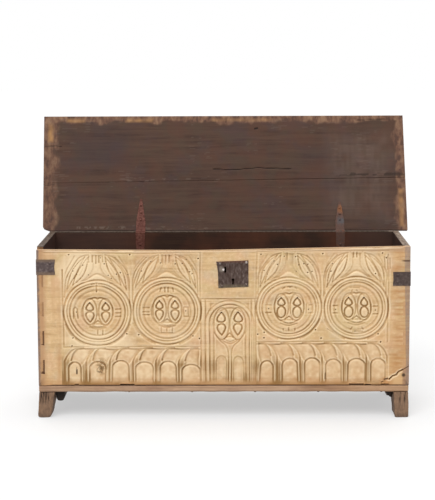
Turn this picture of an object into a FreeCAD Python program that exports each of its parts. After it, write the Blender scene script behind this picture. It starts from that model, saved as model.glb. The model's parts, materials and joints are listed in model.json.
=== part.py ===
import FreeCAD, Part
import os
import re
import Sketcher

# A late-medieval coffer chest. Four boards dovetailed at the corners stand on two bottom planks, which
# are nailed up into them and rest on a pair of sled feet. The lid is two planks joined by hidden dowels,
# hung on two strap hinges whose pins lie just behind the back board. An iron plate on the front carries
# a sliding bolt, two iron straps hold the front corners, and the front board is carved with roundels
# over blind arcades.
#
# Frame: X along the length, Y from front to back, +Z up. The origin is on the floor, in the middle of
# the chest as it stands with its lid open, and all lengths are in millimetres.

doc = FreeCAD.newDocument("coffer_chest")

# ---------------------------------------------------------------------------------------------------
# Driving dimensions: one cell each, with the alias that the expressions use
# ---------------------------------------------------------------------------------------------------

SIZES = [
    # carcass
    ("chest_length", 1500, "outside length of the carcass"),
    ("chest_depth", 500, "front face to rear face of the carcass"),
    ("rim_height", 700, "floor to the top edges of the four boards"),
    ("front_thickness", 30, "front board"),
    ("back_thickness", 26, "back board"),
    ("side_thickness", 26, "side boards"),
    ("bottom_thickness", 28, "bottom planks"),
    ("front_plank_width", 262, "front plank of the bottom, the rear one takes the rest"),
    ("rim_wear_left", 11, "worn top edge of the front board under the rim, at its left end"),
    ("rim_wear_middle", 16, "the same at its lowest point"),
    ("rim_wear_x", -100, "lowest point of the worn edge"),
    # dovetails
    ("pin_count", 4, "pins at each corner"),
    ("pin_bottom_margin", 77, "board's lower edge to the middle of the lowest pin"),
    ("pin_top_margin", 132, "rim to the middle of the highest pin"),
    ("pin_root_height", 60, "pin at the inner face of its side board"),
    ("pin_end_height", 52, "pin at the outer face of its side board"),
    # carving on the front board, with heights from the board's lower edge
    ("left_pair_x", -367.5, "middle of the left pair of roundels"),
    ("left_pair_pitch", 281, "between the centres of the left pair"),
    ("left_pair_height", 304, "centres of the left pair"),
    ("left_roundel_radius", 136, "middle of the outer groove of a left roundel"),
    ("right_pair_x", 400, "middle of the right pair of roundels"),
    ("right_pair_pitch", 270, "between the centres of the right pair"),
    ("right_pair_height", 317, "centres of the right pair"),
    ("right_roundel_radius", 128, "middle of the outer groove of a right roundel"),
    ("groove_width", 6, "outer groove of a roundel"),
    ("groove_depth", 6, "outer groove of a roundel"),
    ("rim_width", 6, "proud rim inside the groove"),
    ("dish_depth", 2.5, "flat ring inside the rim"),
    ("eye_radius", 62, "eye in the middle of a roundel"),
    ("eye_depth", 4.5, "eye in the middle of a roundel"),
    ("gable_top", 534, "top of the stem over a roundel"),
    ("stem_half", 25, "half the width of the stem"),
    ("stem_length", 38, "top of the stem to where the gable widens"),
    ("gable_half", 80, "half the width of the gable at its foot"),
    ("gable_peak", 26, "roundel's groove to the peak inside the gable"),
    ("gable_depth", 6, "gable and stem"),
    ("niche_count", 6, "niches in each arcade"),
    ("niche_width", 60, "niches of the arcades"),
    ("niche_depth", 6.5, "niches of the arcades and the lights of the arch"),
    ("arcade_foot", 21, "foot of the niches and of the arch"),
    ("left_niche_first", -604, "middle of the left arcade's outermost niche"),
    ("left_niche_last", -128, "middle of its innermost niche"),
    ("left_niche_crown", 97, "crowns of the left niches"),
    ("left_arcade_top", 158, "top rail of the left arcade"),
    ("right_niche_first", 626, "middle of the right arcade's outermost niche"),
    ("right_niche_last", 176, "middle of its innermost niche"),
    ("right_niche_crown", 107, "crowns of the right niches"),
    ("right_arcade_top", 178, "top rail of the right arcade"),
    ("sail_depth", 5.5, "sunk fields over the niches"),
    ("sail_start", 9, "middle of a niche to the near end of its field, away from the lean"),
    ("sail_reach", 78, "middle of a niche to the far end of its field"),
    ("sail_heel", 50, "middle of a niche to the heel of its field"),
    ("sail_height", 52, "height of a field"),
    ("rail_width", 8, "top rail over the fields"),
    ("arch_x", 25.5, "middle of the arch between the arcades"),
    ("arch_radius", 80, "recess of the arch"),
    ("arch_crown", 333, "crown of the arch's recess"),
    ("arch_depth", 3, "recess of the arch"),
    ("light_offset", 35, "middle of the arch to the middle of each light"),
    ("light_width", 38, "the two lights under the arch"),
    ("light_crown", 118, "crowns of the lights"),
    # sled feet
    ("foot_height", 106, "floor to the underside of the bottom planks"),
    ("left_foot_width", 64, "left runner at the top"),
    ("left_foot_taper", 16, "lean of the left runner's inner face"),
    ("left_foot_flare", 7, "outward lean of the left runner's outer face"),
    ("right_foot_width", 62, "right runner at the top"),
    ("right_foot_taper", 6, "lean of the right runner's inner face"),
    ("right_foot_flare", 1, "outward lean of the right runner's outer face"),
    ("foot_length", 120, "front or rear foot along the runner, at the floor"),
    ("arch_height", 62, "floor to the top of the arch between two feet"),
    ("arch_slope", 25, "how far each side of the arch leans in"),
    ("arch_round", 20, "radius in the upper corners of the arch"),
    ("left_foot_round", 11, "worn lower edges of the left feet"),
    ("right_foot_round", 4, "worn lower edges of the right feet"),
    # battens under the bottom
    ("batten_setback", 40, "front face of the carcass to the end of a batten"),
    ("batten_gap", 1, "runner's inner face to the batten beside it"),
    ("left_batten_width", 42, "left batten"),
    ("left_batten_height", 34, "left batten"),
    ("left_batten_round", 15, "worn lower edges of the left batten"),
    ("right_batten_width", 32, "right batten"),
    ("right_batten_height", 28, "right batten"),
    ("right_batten_bevel", 22, "bevel on the inboard edge of the right batten"),
    # lid
    ("lid_thickness", 25, "both planks of the lid"),
    ("lid_side_overhang", 38.5, "lid past each side board"),
    ("lid_front_overhang", 19.5, "lid past the front board"),
    ("lid_skew", 8, "shift of the front corners to the left of the rear ones"),
    ("lid_gap", 0.5, "rim to the underside of the closed lid"),
    ("rear_plank_left", 213, "width of the rear plank at its left end"),
    ("rear_plank_right", 236, "width of the rear plank at its right end"),
    ("corner_clip_length", 30, "broken rear left corner of the lid, along the edge"),
    ("corner_clip_depth", 11, "broken rear left corner of the lid, across the plank"),
    ("corner_clip_round", 9, "worn shoulder of the broken corner"),
    ("lid_edge_round", 3, "worn front arrises of the lid"),
    ("open_angle", 112, "turn of the lid from closed to its stop, in degrees"),
    ("dowel_count", 5, "dowels between the two planks"),
    ("dowel_radius", 5.4, "middle of a dowel to its arrises"),
    ("dowel_length", 70, "dowels between the two planks"),
    ("dowel_end_margin", 140, "end of the lid to the outermost dowel"),
    ("fit_clearance", 0.1, "all round a dowel or peg, and past its end"),
    # strap hinges
    ("strap_thickness", 3, "hinge straps"),
    ("left_hinge_x", -360, "middle of the left hinge"),
    ("right_hinge_x", 500, "middle of the right hinge"),
    ("left_strap_width", 40, "left straps at the knuckles"),
    ("right_strap_width", 38, "right straps at the knuckles"),
    ("left_lid_strap_length", 146, "hinge pin to the tip of the left lid strap"),
    ("right_lid_strap_length", 132, "hinge pin to the tip of the right lid strap"),
    ("back_strap_length", 150, "hinge pin down to the tip of a back strap"),
    ("strap_tip_width", 9, "straps at the tip"),
    ("strap_parallel_length", 45, "stretch of a strap before its taper"),
    ("strap_nail_count", 3, "nails in each strap"),
    ("strap_nail_first", 52, "hinge pin to the first nail"),
    ("strap_nail_last", 28, "last nail to the tip"),
    ("leaf_gap", 0.4, "between the two leaves of a closed hinge"),
    ("hinge_pin_radius", 3, "hinge pins"),
    ("pin_clearance", 0.05, "hinge pin to the bore of a knuckle"),
    ("knuckle_wall", 3, "iron round the bore"),
    ("knuckle_gap", 0.5, "between two knuckles, and to the leaf or the board behind them"),
    ("pin_head_radius", 4.5, "peened ends of a hinge pin"),
    ("pin_head_length", 1.6, "peened ends of a hinge pin"),
    ("notch_clearance", 0.5, "each side of a strap in the back board's notch"),
    # lock, measured from the middle of the hasp slot
    ("lock_x", 8.5, "middle of the hasp slot"),
    ("lock_drop", 91, "rim to the middle of the hasp slot"),
    ("plate_thickness", 2, "lock plate"),
    ("plate_border", 11, "lock's mortise to the upper, lower and right edges of the plate"),
    ("plate_left_border", 25, "lock's mortise to the upper left corner"),
    ("plate_skew", 5, "rise of the right corners over the left ones"),
    ("plate_rake", 8, "lower left corner's setback"),
    ("plate_waist", 7, "hollow worn into the left edge"),
    ("hasp_slot_width", 8, "slot for the staple of the hasp"),
    ("hasp_slot_height", 25, "slot for the staple of the hasp"),
    ("key_x", 31.5, "slot to the axis of the key"),
    ("key_drop", 41, "slot down to the axis of the key"),
    ("key_hole_radius", 5.5, "round part of the keyhole"),
    ("key_slot_width", 6.5, "narrow part of the keyhole"),
    ("key_slot_length", 19, "axis of the key to the foot of the keyhole"),
    ("mortise_room", 4, "lock's moving parts and keyhole to the walls of its mortise"),
    ("mortise_depth", 18, "lock's mortise in the front board"),
    ("bolt_throw", 13, "travel of the bolt"),
    ("bolt_height", 16, "bolt"),
    ("bolt_thickness", 7, "bolt"),
    ("bolt_clearance", 0.3, "bolt to the plate and to its guides"),
    ("bolt_setback", 2, "open bolt's end to the edge of the hasp slot"),
    ("talon_width", 6, "each of the two talons that the key pushes"),
    ("talon_drop", 18, "bolt's lower edge to the foot of the talons"),
    ("talon_notch_width", 15, "notch between the talons for the key's bit"),
    ("talon_notch_height", 6, "notch between the talons for the key's bit"),
    ("guide_width", 5, "staples that guide the bolt"),
    ("guide_bar", 3, "thickness of their bars"),
    ("guide_spacing", 49, "between the two guides"),
    ("spring_depth", 5, "width of the leaf spring's blade"),
    ("spring_blade", 1.2, "thickness of its blade"),
    ("spring_foot", 7, "foot that is riveted to the plate"),
    ("spring_reach", 32, "foot to the free end"),
    ("spring_rise", 7.5, "height of the foot over the bolt"),
    # corner straps
    ("corner_strap_thickness", 2, "sheet iron"),
    ("corner_strap_side", 85, "reach along the side board"),
    ("left_corner_reach", 75, "reach along the front board"),
    ("left_corner_height", 62, "left corner strap"),
    ("left_corner_drop", 49, "rim to the strap's upper edge"),
    ("left_corner_notch", 4, "fishtail cut in the end"),
    ("right_corner_reach", 69, "reach along the front board"),
    ("right_corner_height", 56, "right corner strap"),
    ("right_corner_drop", 102, "rim to the strap's upper edge"),
    ("right_corner_notch", 2, "fishtail cut in the end"),
    ("corner_nail_inset", 20, "each end of a corner strap to its nails"),
    # fasteners
    ("nail_head_width", 11, "hand-forged heads"),
    ("nail_head_height", 3, "hand-forged heads"),
    ("nail_head_top", 4, "flat on top of a head"),
    ("nail_shank_width", 4, "square shanks"),
    ("iron_nail_length", 20, "shanks of the nails through the iron straps and plate"),
    ("plate_nail_inset", 8.25, "edges of the lock plate to the middle of a nail"),
    ("bottom_nail_bite", 34, "how far a bottom nail enters the board or plank above"),
    ("batten_nail_bite", 18, "how far a batten nail enters the bottom plank"),
    ("batten_nail_inset", 33, "batten's ends, and the seam of the bottom, to its nails"),
    ("bottom_nail_count", 6, "nails along the front and along the back"),
    ("bottom_nail_margin", 110, "end of the chest to the outermost bottom nail"),
    ("riven_sides", 8, "flat sides of the pegs and dowels"),
    ("peg_radius", 8.6, "middle of a peg to its arrises"),
    ("peg_bite", 48, "how far a peg enters its foot"),
    ("peg_inset", 20, "side board's inner face to the middle of a peg"),
]

sheet = doc.addObject("Spreadsheet::Sheet", "Size")
for row, (alias, value, meaning) in enumerate(SIZES, start=1):
    sheet.set(f"A{row}", meaning)
    sheet.set(f"B{row}", str(value))
    sheet.setAlias(f"B{row}", alias)
doc.recompute()

ALIAS_WORD = re.compile(r"\b(" + "|".join(alias for alias, _, _ in SIZES) + r")\b")


def size(alias):
    """The number in the cell of that alias."""
    return float(getattr(sheet, alias))


def cells(expression):
    """An expression with each alias pointed at its cell of the sheet."""
    return ALIAS_WORD.sub(r"Size.\1", str(expression))


# Heights and reaches that several pieces share
BOARD_FOOT = "(foot_height + bottom_thickness)"
BOARD_HEIGHT = "(rim_height - foot_height - bottom_thickness)"
PIN_PITCH = f"(({BOARD_HEIGHT} - pin_bottom_margin - pin_top_margin) / (pin_count - 1))"
KNUCKLE = "(hinge_pin_radius + pin_clearance + knuckle_wall)"
PIVOT_BACK = "(hinge_pin_radius + pin_clearance + knuckle_wall + knuckle_gap)"
LID_UNDERSIDE = "(strap_thickness + leaf_gap)"
PIVOT_DROP = "(strap_thickness + leaf_gap - lid_gap)"
LID_DEPTH = "(chest_depth + lid_front_overhang)"
LID_REACH = f"({PIVOT_BACK} + {LID_DEPTH})"
LID_HALF = "(chest_length / 2 + lid_side_overhang)"
FRONT_STAND_OFF = "(plate_thickness + nail_head_height)"
OPEN_LID_DEPTH = (
    f"({LID_REACH} * sin(open_angle - 90) + ({LID_UNDERSIDE} + lid_thickness) * cos(open_angle - 90))"
)
# The front face stands this far before the origin, which puts the origin in the middle of the depth
FRONT_SETBACK = f"((chest_depth + {PIVOT_BACK} + {OPEN_LID_DEPTH} - {FRONT_STAND_OFF}) / 2)"
PIVOT_Y = f"(chest_depth + {PIVOT_BACK} - {FRONT_SETBACK})"
PIVOT_Z = f"(rim_height - {PIVOT_DROP})"

# ---------------------------------------------------------------------------------------------------
# Modelling helpers
# ---------------------------------------------------------------------------------------------------

PLANES = {"XY": "XY_Plane", "XZ": "XZ_Plane", "YZ": "YZ_Plane"}
START_RADIUS = 100.0
CLOSED_TURN = FreeCAD.Rotation()


def open_turn():
    """Turn of everything that hangs on the hinges, from closed to the open stop."""
    return FreeCAD.Rotation(FreeCAD.Vector(1, 0, 0), -size("open_angle"))


def place(piece, x="0", y="0", z="0", turn=CLOSED_TURN):
    """Set where a piece's own origin lies, bound to the sheet."""
    piece.Placement = FreeCAD.Placement(FreeCAD.Vector(), turn)
    piece.setExpression("Placement.Base.x", cells(x))
    piece.setExpression("Placement.Base.y", cells(y))
    piece.setExpression("Placement.Base.z", cells(z))
    return piece


def on_carcass(piece, x="0", z="0"):
    """Place a piece whose own y = 0 is the front face of the carcass."""
    return place(piece, x, f"-{FRONT_SETBACK}", z)


def on_hinge(piece, x="0", turn=CLOSED_TURN):
    """Place a piece whose own origin is the hinge axis."""
    return place(piece, x, PIVOT_Y, PIVOT_Z, turn)


def new_body(label):
    """An empty body; the label names the node."""
    body = doc.addObject("PartDesign::Body", label)
    body.Label = label
    return body


def sketch_on(body, plane, offset):
    """A sketch on one of the body's own origin planes, moved along the plane's normal."""
    sketch = body.newObject("Sketcher::SketchObject", f"{body.Name}_sketch")
    role = PLANES[plane]
    support = next(item for item in body.Origin.OriginFeatures if item.Role == role)
    sketch.AttachmentSupport = [(support, "")]
    sketch.MapMode = "FlatFace"
    sketch.setExpression("AttachmentOffset.Base.z", cells(offset))
    return sketch


def pin_down(sketch, edge, point, at):
    """Bind one point of a sketch to two expressions."""
    for kind, expression in zip(("DistanceX", "DistanceY"), at):
        index = sketch.addConstraint(Sketcher.Constraint(kind, -1, 1, edge, point, START_RADIUS))
        sketch.setExpression(f"Constraints[{index}]", cells(expression))


def add_loop(sketch, corners):
    """A closed run of straight edges through corners given as pairs of expressions."""
    first = sketch.GeometryCount
    count = len(corners)
    spread = FreeCAD.Vector(START_RADIUS, 0, 0)
    ring = [FreeCAD.Rotation(FreeCAD.Vector(0, 0, 1), 360 * i / count).multVec(spread) for i in range(count)]
    for i in range(count):
        sketch.addGeometry(Part.LineSegment(ring[i], ring[(i + 1) % count]), False)
    for i in range(count):
        joined = first + (i + 1) % count
        sketch.addConstraint(Sketcher.Constraint("Coincident", first + i, 2, joined, 1))
    for i, corner in enumerate(corners):
        pin_down(sketch, first + i, 1, corner)


def loops(body, plane, outlines, offset="0"):
    """A sketch of one or more closed outlines."""
    sketch = sketch_on(body, plane, offset)
    for corners in outlines:
        add_loop(sketch, corners)
    return sketch


def box_corners(low_x, high_x, low_y, high_y):
    """The four corners of a rectangle."""
    return [(low_x, low_y), (high_x, low_y), (high_x, high_y), (low_x, high_y)]


def circles(body, plane, rounds, offset="0"):
    """A sketch of circles, each given as its radius and its centre."""
    sketch = sketch_on(body, plane, offset)
    middle = FreeCAD.Vector(START_RADIUS, START_RADIUS, 0)
    for radius, centre in rounds:
        edge = sketch.addGeometry(Part.Circle(middle, FreeCAD.Vector(0, 0, 1), 1), False)
        pin_down(sketch, edge, 3, centre)
        index = sketch.addConstraint(Sketcher.Constraint("Radius", edge, 1))
        sketch.setExpression(f"Constraints[{index}]", cells(radius))
    return sketch


def circle(body, plane, radius, offset="0", centre=("0", "0")):
    """A sketch of one circle."""
    return circles(body, plane, [(radius, centre)], offset)


def pad(body, sketch, length, backwards=False):
    """Raise a sketch by a bound length."""
    feature = body.newObject("PartDesign::Pad", f"{body.Name}_pad")
    feature.Profile = sketch
    feature.setExpression("Length", cells(length))
    feature.Reversed = backwards
    return feature


def pocket(body, sketch, length=None, backwards=False):
    """Sink a sketch by a bound length, or right through; it has to take something away."""
    doc.recompute()
    before = body.Shape.Volume
    feature = body.newObject("PartDesign::Pocket", f"{body.Name}_pocket")
    feature.Profile = sketch
    feature.Reversed = backwards
    if length is None:
        feature.Type = "ThroughAll"
    else:
        feature.setExpression("Length", cells(length))
    doc.recompute()
    if body.Shape.Volume >= before:
        raise RuntimeError(f"a pocket of {body.Label} cuts nothing")
    return feature


def edges_where(shape, wanted):
    """The names of the edges whose middle passes a test."""
    names = []
    for number, edge in enumerate(shape.Edges, start=1):
        if wanted(edge.CenterOfMass, edge):
            names.append(f"Edge{number}")
    return names


def soften(body, radius, wanted, kind="Fillet"):
    """Round or bevel the edges of a body that pass a test."""
    doc.recompute()
    base = body.Tip
    names = edges_where(base.Shape, wanted)
    feature = body.newObject(f"PartDesign::{kind}", f"{body.Name}_{kind.lower()}")
    feature.Base = (base, names)
    feature.setExpression("Radius" if kind == "Fillet" else "Size", cells(radius))
    return feature


def near(value, other, slack=0.01):
    """Whether two lengths are the same."""
    return abs(value - other) < slack


def evenly(first, last, count):
    """Evenly spaced places from first to last."""
    step = (last - first) / (count - 1)
    return [first + step * number for number in range(int(count))]


def fastener_group(label, solids):
    """One node for like fasteners, each a solid of its own."""
    group = doc.addObject("Part::Feature", label)
    group.Label = label
    group.Shape = Part.makeCompound(solids)
    return group


def bored(blank, label, fasteners):
    """A piece with the holes that its fasteners fill."""
    blank.Label = f"{label}_blank"
    work = blank
    for fastener in fasteners:
        cut = doc.addObject("Part::Cut", f"{label}_bored")
        cut.Base = work
        cut.Tool = fastener
        work = cut
    work.Label = label
    return work


# ---------------------------------------------------------------------------------------------------
# Carcass boards, dovetailed at the corners
# ---------------------------------------------------------------------------------------------------

def pin_middle(number):
    """Height of a pin over the lower edge of its board."""
    return f"(pin_bottom_margin + {number} * {PIN_PITCH})"


def socket_corners(side):
    """Corners of the pin sockets at one end of a tail board, from the lower edge up."""
    outer = f"{side} * chest_length / 2"
    inner = f"{side} * (chest_length / 2 - side_thickness)"
    corners = []
    for number in range(int(size("pin_count"))):
        middle = pin_middle(number)
        corners.append((outer, f"{middle} - pin_end_height / 2"))
        corners.append((inner, f"{middle} - pin_root_height / 2"))
        corners.append((inner, f"{middle} + pin_root_height / 2"))
        corners.append((outer, f"{middle} + pin_end_height / 2"))
    return corners


def tail_board(label, thickness, top_edge):
    """A front or back board: its ends are tails, with a socket for each pin of the sides."""
    body = new_body(label)
    right_end = [("chest_length / 2", "0")] + socket_corners(1)
    left_end = [("-chest_length / 2", "0")] + socket_corners(-1)
    pad(body, loops(body, "XZ", [right_end + top_edge + left_end[::-1]]), thickness, backwards=True)
    return body


def side_board(label, side):
    """A side board: a slab between front and back, with pins that run out through both."""
    body = new_body(label)
    slab = box_corners("front_thickness", "chest_depth - back_thickness", "0", BOARD_HEIGHT)
    pad(body, loops(body, "YZ", [slab]), "side_thickness", backwards=side > 0)
    pins = []
    for number in range(int(size("pin_count"))):
        middle = pin_middle(number)
        inner = f"{-side} * side_thickness"
        pins.append([
            ("0", f"{middle} - pin_end_height / 2"),
            (inner, f"{middle} - pin_root_height / 2"),
            (inner, f"{middle} + pin_root_height / 2"),
            ("0", f"{middle} + pin_end_height / 2"),
        ])
    pad(body, loops(body, "XZ", pins), "chest_depth", backwards=True)
    return on_carcass(body, f"{side} * chest_length / 2", BOARD_FOOT)


# The lock's pieces along the bolt, measured from the middle of the hasp slot
BOLT_START = "(hasp_slot_width / 2 + bolt_setback)"
TALON_MIDDLE = "(key_x + bolt_throw / 2)"
TALON_HALF = "(talon_notch_width / 2 + talon_width)"
FIRST_GUIDE_X = f"({TALON_MIDDLE} - {TALON_HALF} - bolt_throw - 2 * bolt_clearance - guide_width)"
SECOND_GUIDE_X = f"({FIRST_GUIDE_X} + guide_width + guide_spacing)"
BOLT_END = f"({SECOND_GUIDE_X} + guide_width + bolt_throw)"
SPRING_SEAT = "(bolt_height / 2 + bolt_clearance)"
# The mortise leaves room round all of it, and the plate covers the mortise
MORTISE_LEFT = f"({BOLT_START} - bolt_throw - mortise_room)"
MORTISE_RIGHT = f"({BOLT_END} + mortise_room)"
MORTISE_TOP = f"({SPRING_SEAT} + spring_rise + spring_blade + mortise_room)"
MORTISE_FOOT = "(-key_drop - key_slot_length - mortise_room)"

# The front board's top edge is worn hollow by hands and by what was lifted over it
worn_edge = [
    ("chest_length / 2", BOARD_HEIGHT),
    ("rim_wear_x", f"{BOARD_HEIGHT} - rim_wear_middle"),
    ("-chest_length / 2", f"{BOARD_HEIGHT} - rim_wear_left"),
]
front_blank = on_carcass(tail_board("front_board", "front_thickness", worn_edge), z=BOARD_FOOT)
LOCK_RISE = f"({BOARD_HEIGHT} - lock_drop)"
lock_mortise = box_corners(
    f"lock_x + {MORTISE_LEFT}", f"lock_x + {MORTISE_RIGHT}",
    f"{LOCK_RISE} + {MORTISE_FOOT}", f"{LOCK_RISE} + {MORTISE_TOP}",
)
pocket(front_blank, loops(front_blank, "XZ", [lock_mortise]), "mortise_depth")

straight_edge = [("chest_length / 2", BOARD_HEIGHT), ("-chest_length / 2", BOARD_HEIGHT)]
back_blank = tail_board("back_board", "back_thickness", straight_edge)
place(back_blank, y=f"chest_depth - back_thickness - {FRONT_SETBACK}", z=BOARD_FOOT)
NOTCH_FLOOR = f"({BOARD_HEIGHT} - {PIVOT_DROP} - strap_thickness)"
strap_notches = []
for hinge_x, strap_width in (("left_hinge_x", "left_strap_width"), ("right_hinge_x", "right_strap_width")):
    half_notch = f"({strap_width} / 2 + notch_clearance)"
    strap_notches.append(
        box_corners(f"{hinge_x} - {half_notch}", f"{hinge_x} + {half_notch}", NOTCH_FLOOR, BOARD_HEIGHT)
    )
pocket(back_blank, loops(back_blank, "XZ", strap_notches))

left_side_blank = side_board("left_side_board", -1)
right_side_blank = side_board("right_side_board", 1)

# ---------------------------------------------------------------------------------------------------
# Carving on the front board: two pairs of roundels over blind arcades, and an arch between them
# ---------------------------------------------------------------------------------------------------

def carve(sketch, depth):
    """Sink a sketch on the face of the front board."""
    pocket(front_blank, sketch, depth)


def carve_arches(middles, half_width, foot, crown, depth):
    """Sink round-headed recesses of one size."""
    spring = f"({crown} - {half_width})"
    shafts = [box_corners(f"{x} - {half_width}", f"{x} + {half_width}", foot, spring) for x in middles]
    heads = [(half_width, (x, spring)) for x in middles]
    carve(loops(front_blank, "XZ", shafts), depth)
    carve(circles(front_blank, "XZ", heads), depth)


def gable(x, name):
    """Outline of the stem over a roundel, which widens to a gable that sits on the roundel's shoulders."""
    ring_top = f"({name}_pair_height + {name}_roundel_radius)"
    fork = "(gable_top - stem_length)"
    half = [
        ("stem_half", "gable_top"),
        ("stem_half", fork),
        ("(stem_half + gable_half) / 2", f"({fork} + {ring_top}) / 2"),
        ("gable_half", f"{ring_top} - gable_peak / 4"),
    ]
    right = [(f"{x} + {across}", height) for across, height in half]
    left = [(f"{x} - {across}", height) for across, height in half]
    return right + [(x, f"{ring_top} + gable_peak")] + left[::-1]


for name, side in (("left", -1), ("right", 1)):
    groove = f"{name}_roundel_radius"
    centres = []
    for number in (-0.5, 0.5):
        centres.append((f"({name}_pair_x + {number} * {name}_pair_pitch)", f"{name}_pair_height"))
    carve(loops(front_blank, "XZ", [gable(x, name) for x, _ in centres]), "gable_depth")
    for radii, depth in (
        ([f"{groove} + groove_width / 2", f"{groove} - groove_width / 2"], "groove_depth"),
        ([f"{groove} - groove_width / 2 - rim_width"], "dish_depth"),
        (["eye_radius"], "eye_depth"),
    ):
        rings = [(radius, centre) for centre in centres for radius in radii]
        carve(circles(front_blank, "XZ", rings), depth)

    # The arcade's ribs lean towards the middle of the chest, and so do the fields between them
    lean = -side
    top_rail = f"({name}_arcade_top - rail_width)"
    niche_pitch = f"(({name}_niche_last - {name}_niche_first) / (niche_count - 1))"
    niches = []
    for number in range(int(size("niche_count"))):
        niches.append(f"({name}_niche_first + {number} * {niche_pitch})")
    carve_arches(niches, "(niche_width / 2)", "arcade_foot", f"{name}_niche_crown", "niche_depth")
    sails = []
    for x in niches[:-1]:
        sails.append([
            (f"{x} - {lean} * sail_start", f"{name}_arcade_top - sail_height"),
            (f"{x} + {lean} * sail_start", top_rail),
            (f"{x} + {lean} * sail_reach", top_rail),
            (f"{x} + {lean} * sail_heel", f"{name}_arcade_top - sail_height"),
        ])
    carve(loops(front_blank, "XZ", sails), "sail_depth")

carve_arches(["arch_x"], "arch_radius", "arcade_foot", "arch_crown", "arch_depth")
lights = [f"(arch_x + {side} * light_offset)" for side in (-1, 1)]
carve_arches(lights, "(light_width / 2)", "arcade_foot", "light_crown", "niche_depth")

# ---------------------------------------------------------------------------------------------------
# Bottom planks, sled feet and the battens beside them
# ---------------------------------------------------------------------------------------------------

def bottom_plank(label, front_edge, width):
    """A plank that runs the length of the chest, under all four boards."""
    plank = doc.addObject("Part::Box", label)
    plank.Label = label
    plank.setExpression("Length", cells("chest_length"))
    plank.setExpression("Width", cells(width))
    plank.setExpression("Height", cells("bottom_thickness"))
    return place(plank, "-chest_length / 2", f"{front_edge} - {FRONT_SETBACK}", "foot_height")


front_plank_blank = bottom_plank("bottom_front_plank", "0", "front_plank_width")
rear_plank_blank = bottom_plank("bottom_rear_plank", "front_plank_width", "chest_depth - front_plank_width")


def runner(name, side):
    """A sled foot: one beam from front to back, arched between its front and rear feet."""
    body = new_body(f"{name}_runner")
    inward = -side
    outline = [
        (f"{side} * {name}_foot_flare", "0"),
        ("0", "foot_height"),
        (f"{inward} * {name}_foot_width", "foot_height"),
        (f"{inward} * ({name}_foot_width - {name}_foot_taper)", "0"),
    ]
    pad(body, loops(body, "XZ", [outline]), "chest_depth", backwards=True)
    arch = [
        ("foot_length", "0"),
        ("chest_depth - foot_length", "0"),
        ("chest_depth - foot_length - arch_slope", "arch_height"),
        ("foot_length + arch_slope", "arch_height"),
    ]
    pocket(body, loops(body, "YZ", [arch], offset="chest_length"))
    top = size("arch_height")
    soften(
        body, "arch_round",
        lambda middle, edge: near(middle.z, top) and edge.BoundBox.XLength > edge.BoundBox.YLength,
    )
    soften(
        body, f"{name}_foot_round",
        lambda middle, edge: near(middle.z, 0) and edge.BoundBox.YLength > edge.BoundBox.XLength,
    )
    return on_carcass(body, f"{side} * chest_length / 2")


left_runner_blank = runner("left", -1)
right_runner_blank = runner("right", 1)


def batten(name, side):
    """A batten across the underside of the bottom, close inside its runner."""
    body = new_body(f"{name}_batten")
    beam = box_corners("0", f"{-side} * {name}_batten_width", f"-{name}_batten_height", "0")
    pad(body, loops(body, "XZ", [beam]), "chest_depth - 2 * batten_setback", backwards=True)
    place(
        body,
        f"{side} * (chest_length / 2 - {name}_foot_width - batten_gap)",
        f"batten_setback - {FRONT_SETBACK}",
        "foot_height",
    )
    return body


left_batten_blank = batten("left", -1)
left_batten_foot = -size("left_batten_height")
soften(
    left_batten_blank, "left_batten_round",
    lambda middle, edge: near(middle.z, left_batten_foot) and edge.BoundBox.YLength > 1,
)
right_batten_blank = batten("right", 1)
right_batten_foot = -size("right_batten_height")
right_batten_inboard = -size("right_batten_width")
soften(
    right_batten_blank, "right_batten_bevel",
    lambda middle, edge: near(middle.z, right_batten_foot) and near(middle.x, right_batten_inboard),
    kind="Chamfer",
)

# ---------------------------------------------------------------------------------------------------
# Lid: two planks, drawn closed about the hinge axis and turned to the open stop
# ---------------------------------------------------------------------------------------------------

def lid_plank(label, corners):
    """A plank of the lid."""
    body = new_body(label)
    pad(body, loops(body, "XY", [corners], offset=LID_UNDERSIDE), "lid_thickness")
    return on_hinge(body, turn=open_turn())


def lid_corner(end, reach):
    """A point on one end of the lid, by its distance from the hinge edge; the ends are out of square."""
    return (f"{end} * {LID_HALF} + lid_skew * (0.5 - {reach} / {LID_DEPTH})", f"-{PIVOT_BACK} - {reach}")


front_lid_blank = lid_plank("lid_front_plank", [
    lid_corner(-1, LID_DEPTH),
    lid_corner(1, LID_DEPTH),
    lid_corner(1, "rear_plank_right"),
    lid_corner(-1, "rear_plank_left"),
])
doc.recompute()
lid_front_edge = front_lid_blank.Tip.Shape.BoundBox.YMin
soften(
    front_lid_blank, "lid_edge_round",
    lambda middle, edge: near(middle.y, lid_front_edge) and edge.BoundBox.XLength > 1,
)
broken_x, broken_y = lid_corner(-1, "0")
rear_lid_blank = lid_plank("lid_rear_plank", [
    lid_corner(-1, "rear_plank_left"),
    lid_corner(1, "rear_plank_right"),
    lid_corner(1, "0"),
    (f"{broken_x} + corner_clip_length", broken_y),
    lid_corner(-1, "corner_clip_depth"),
])
doc.recompute()
broken_edge = rear_lid_blank.Tip.Shape.BoundBox.YMax - size("corner_clip_depth")
soften(
    rear_lid_blank, "corner_clip_round",
    lambda middle, edge: near(middle.y, broken_edge) and near(edge.Length, size("lid_thickness")),
)

# ---------------------------------------------------------------------------------------------------
# Strap hinges, each drawn about its own pin with the lid closed
# ---------------------------------------------------------------------------------------------------

BACK_INNER = f"({PIVOT_BACK} + back_thickness)"


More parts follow.
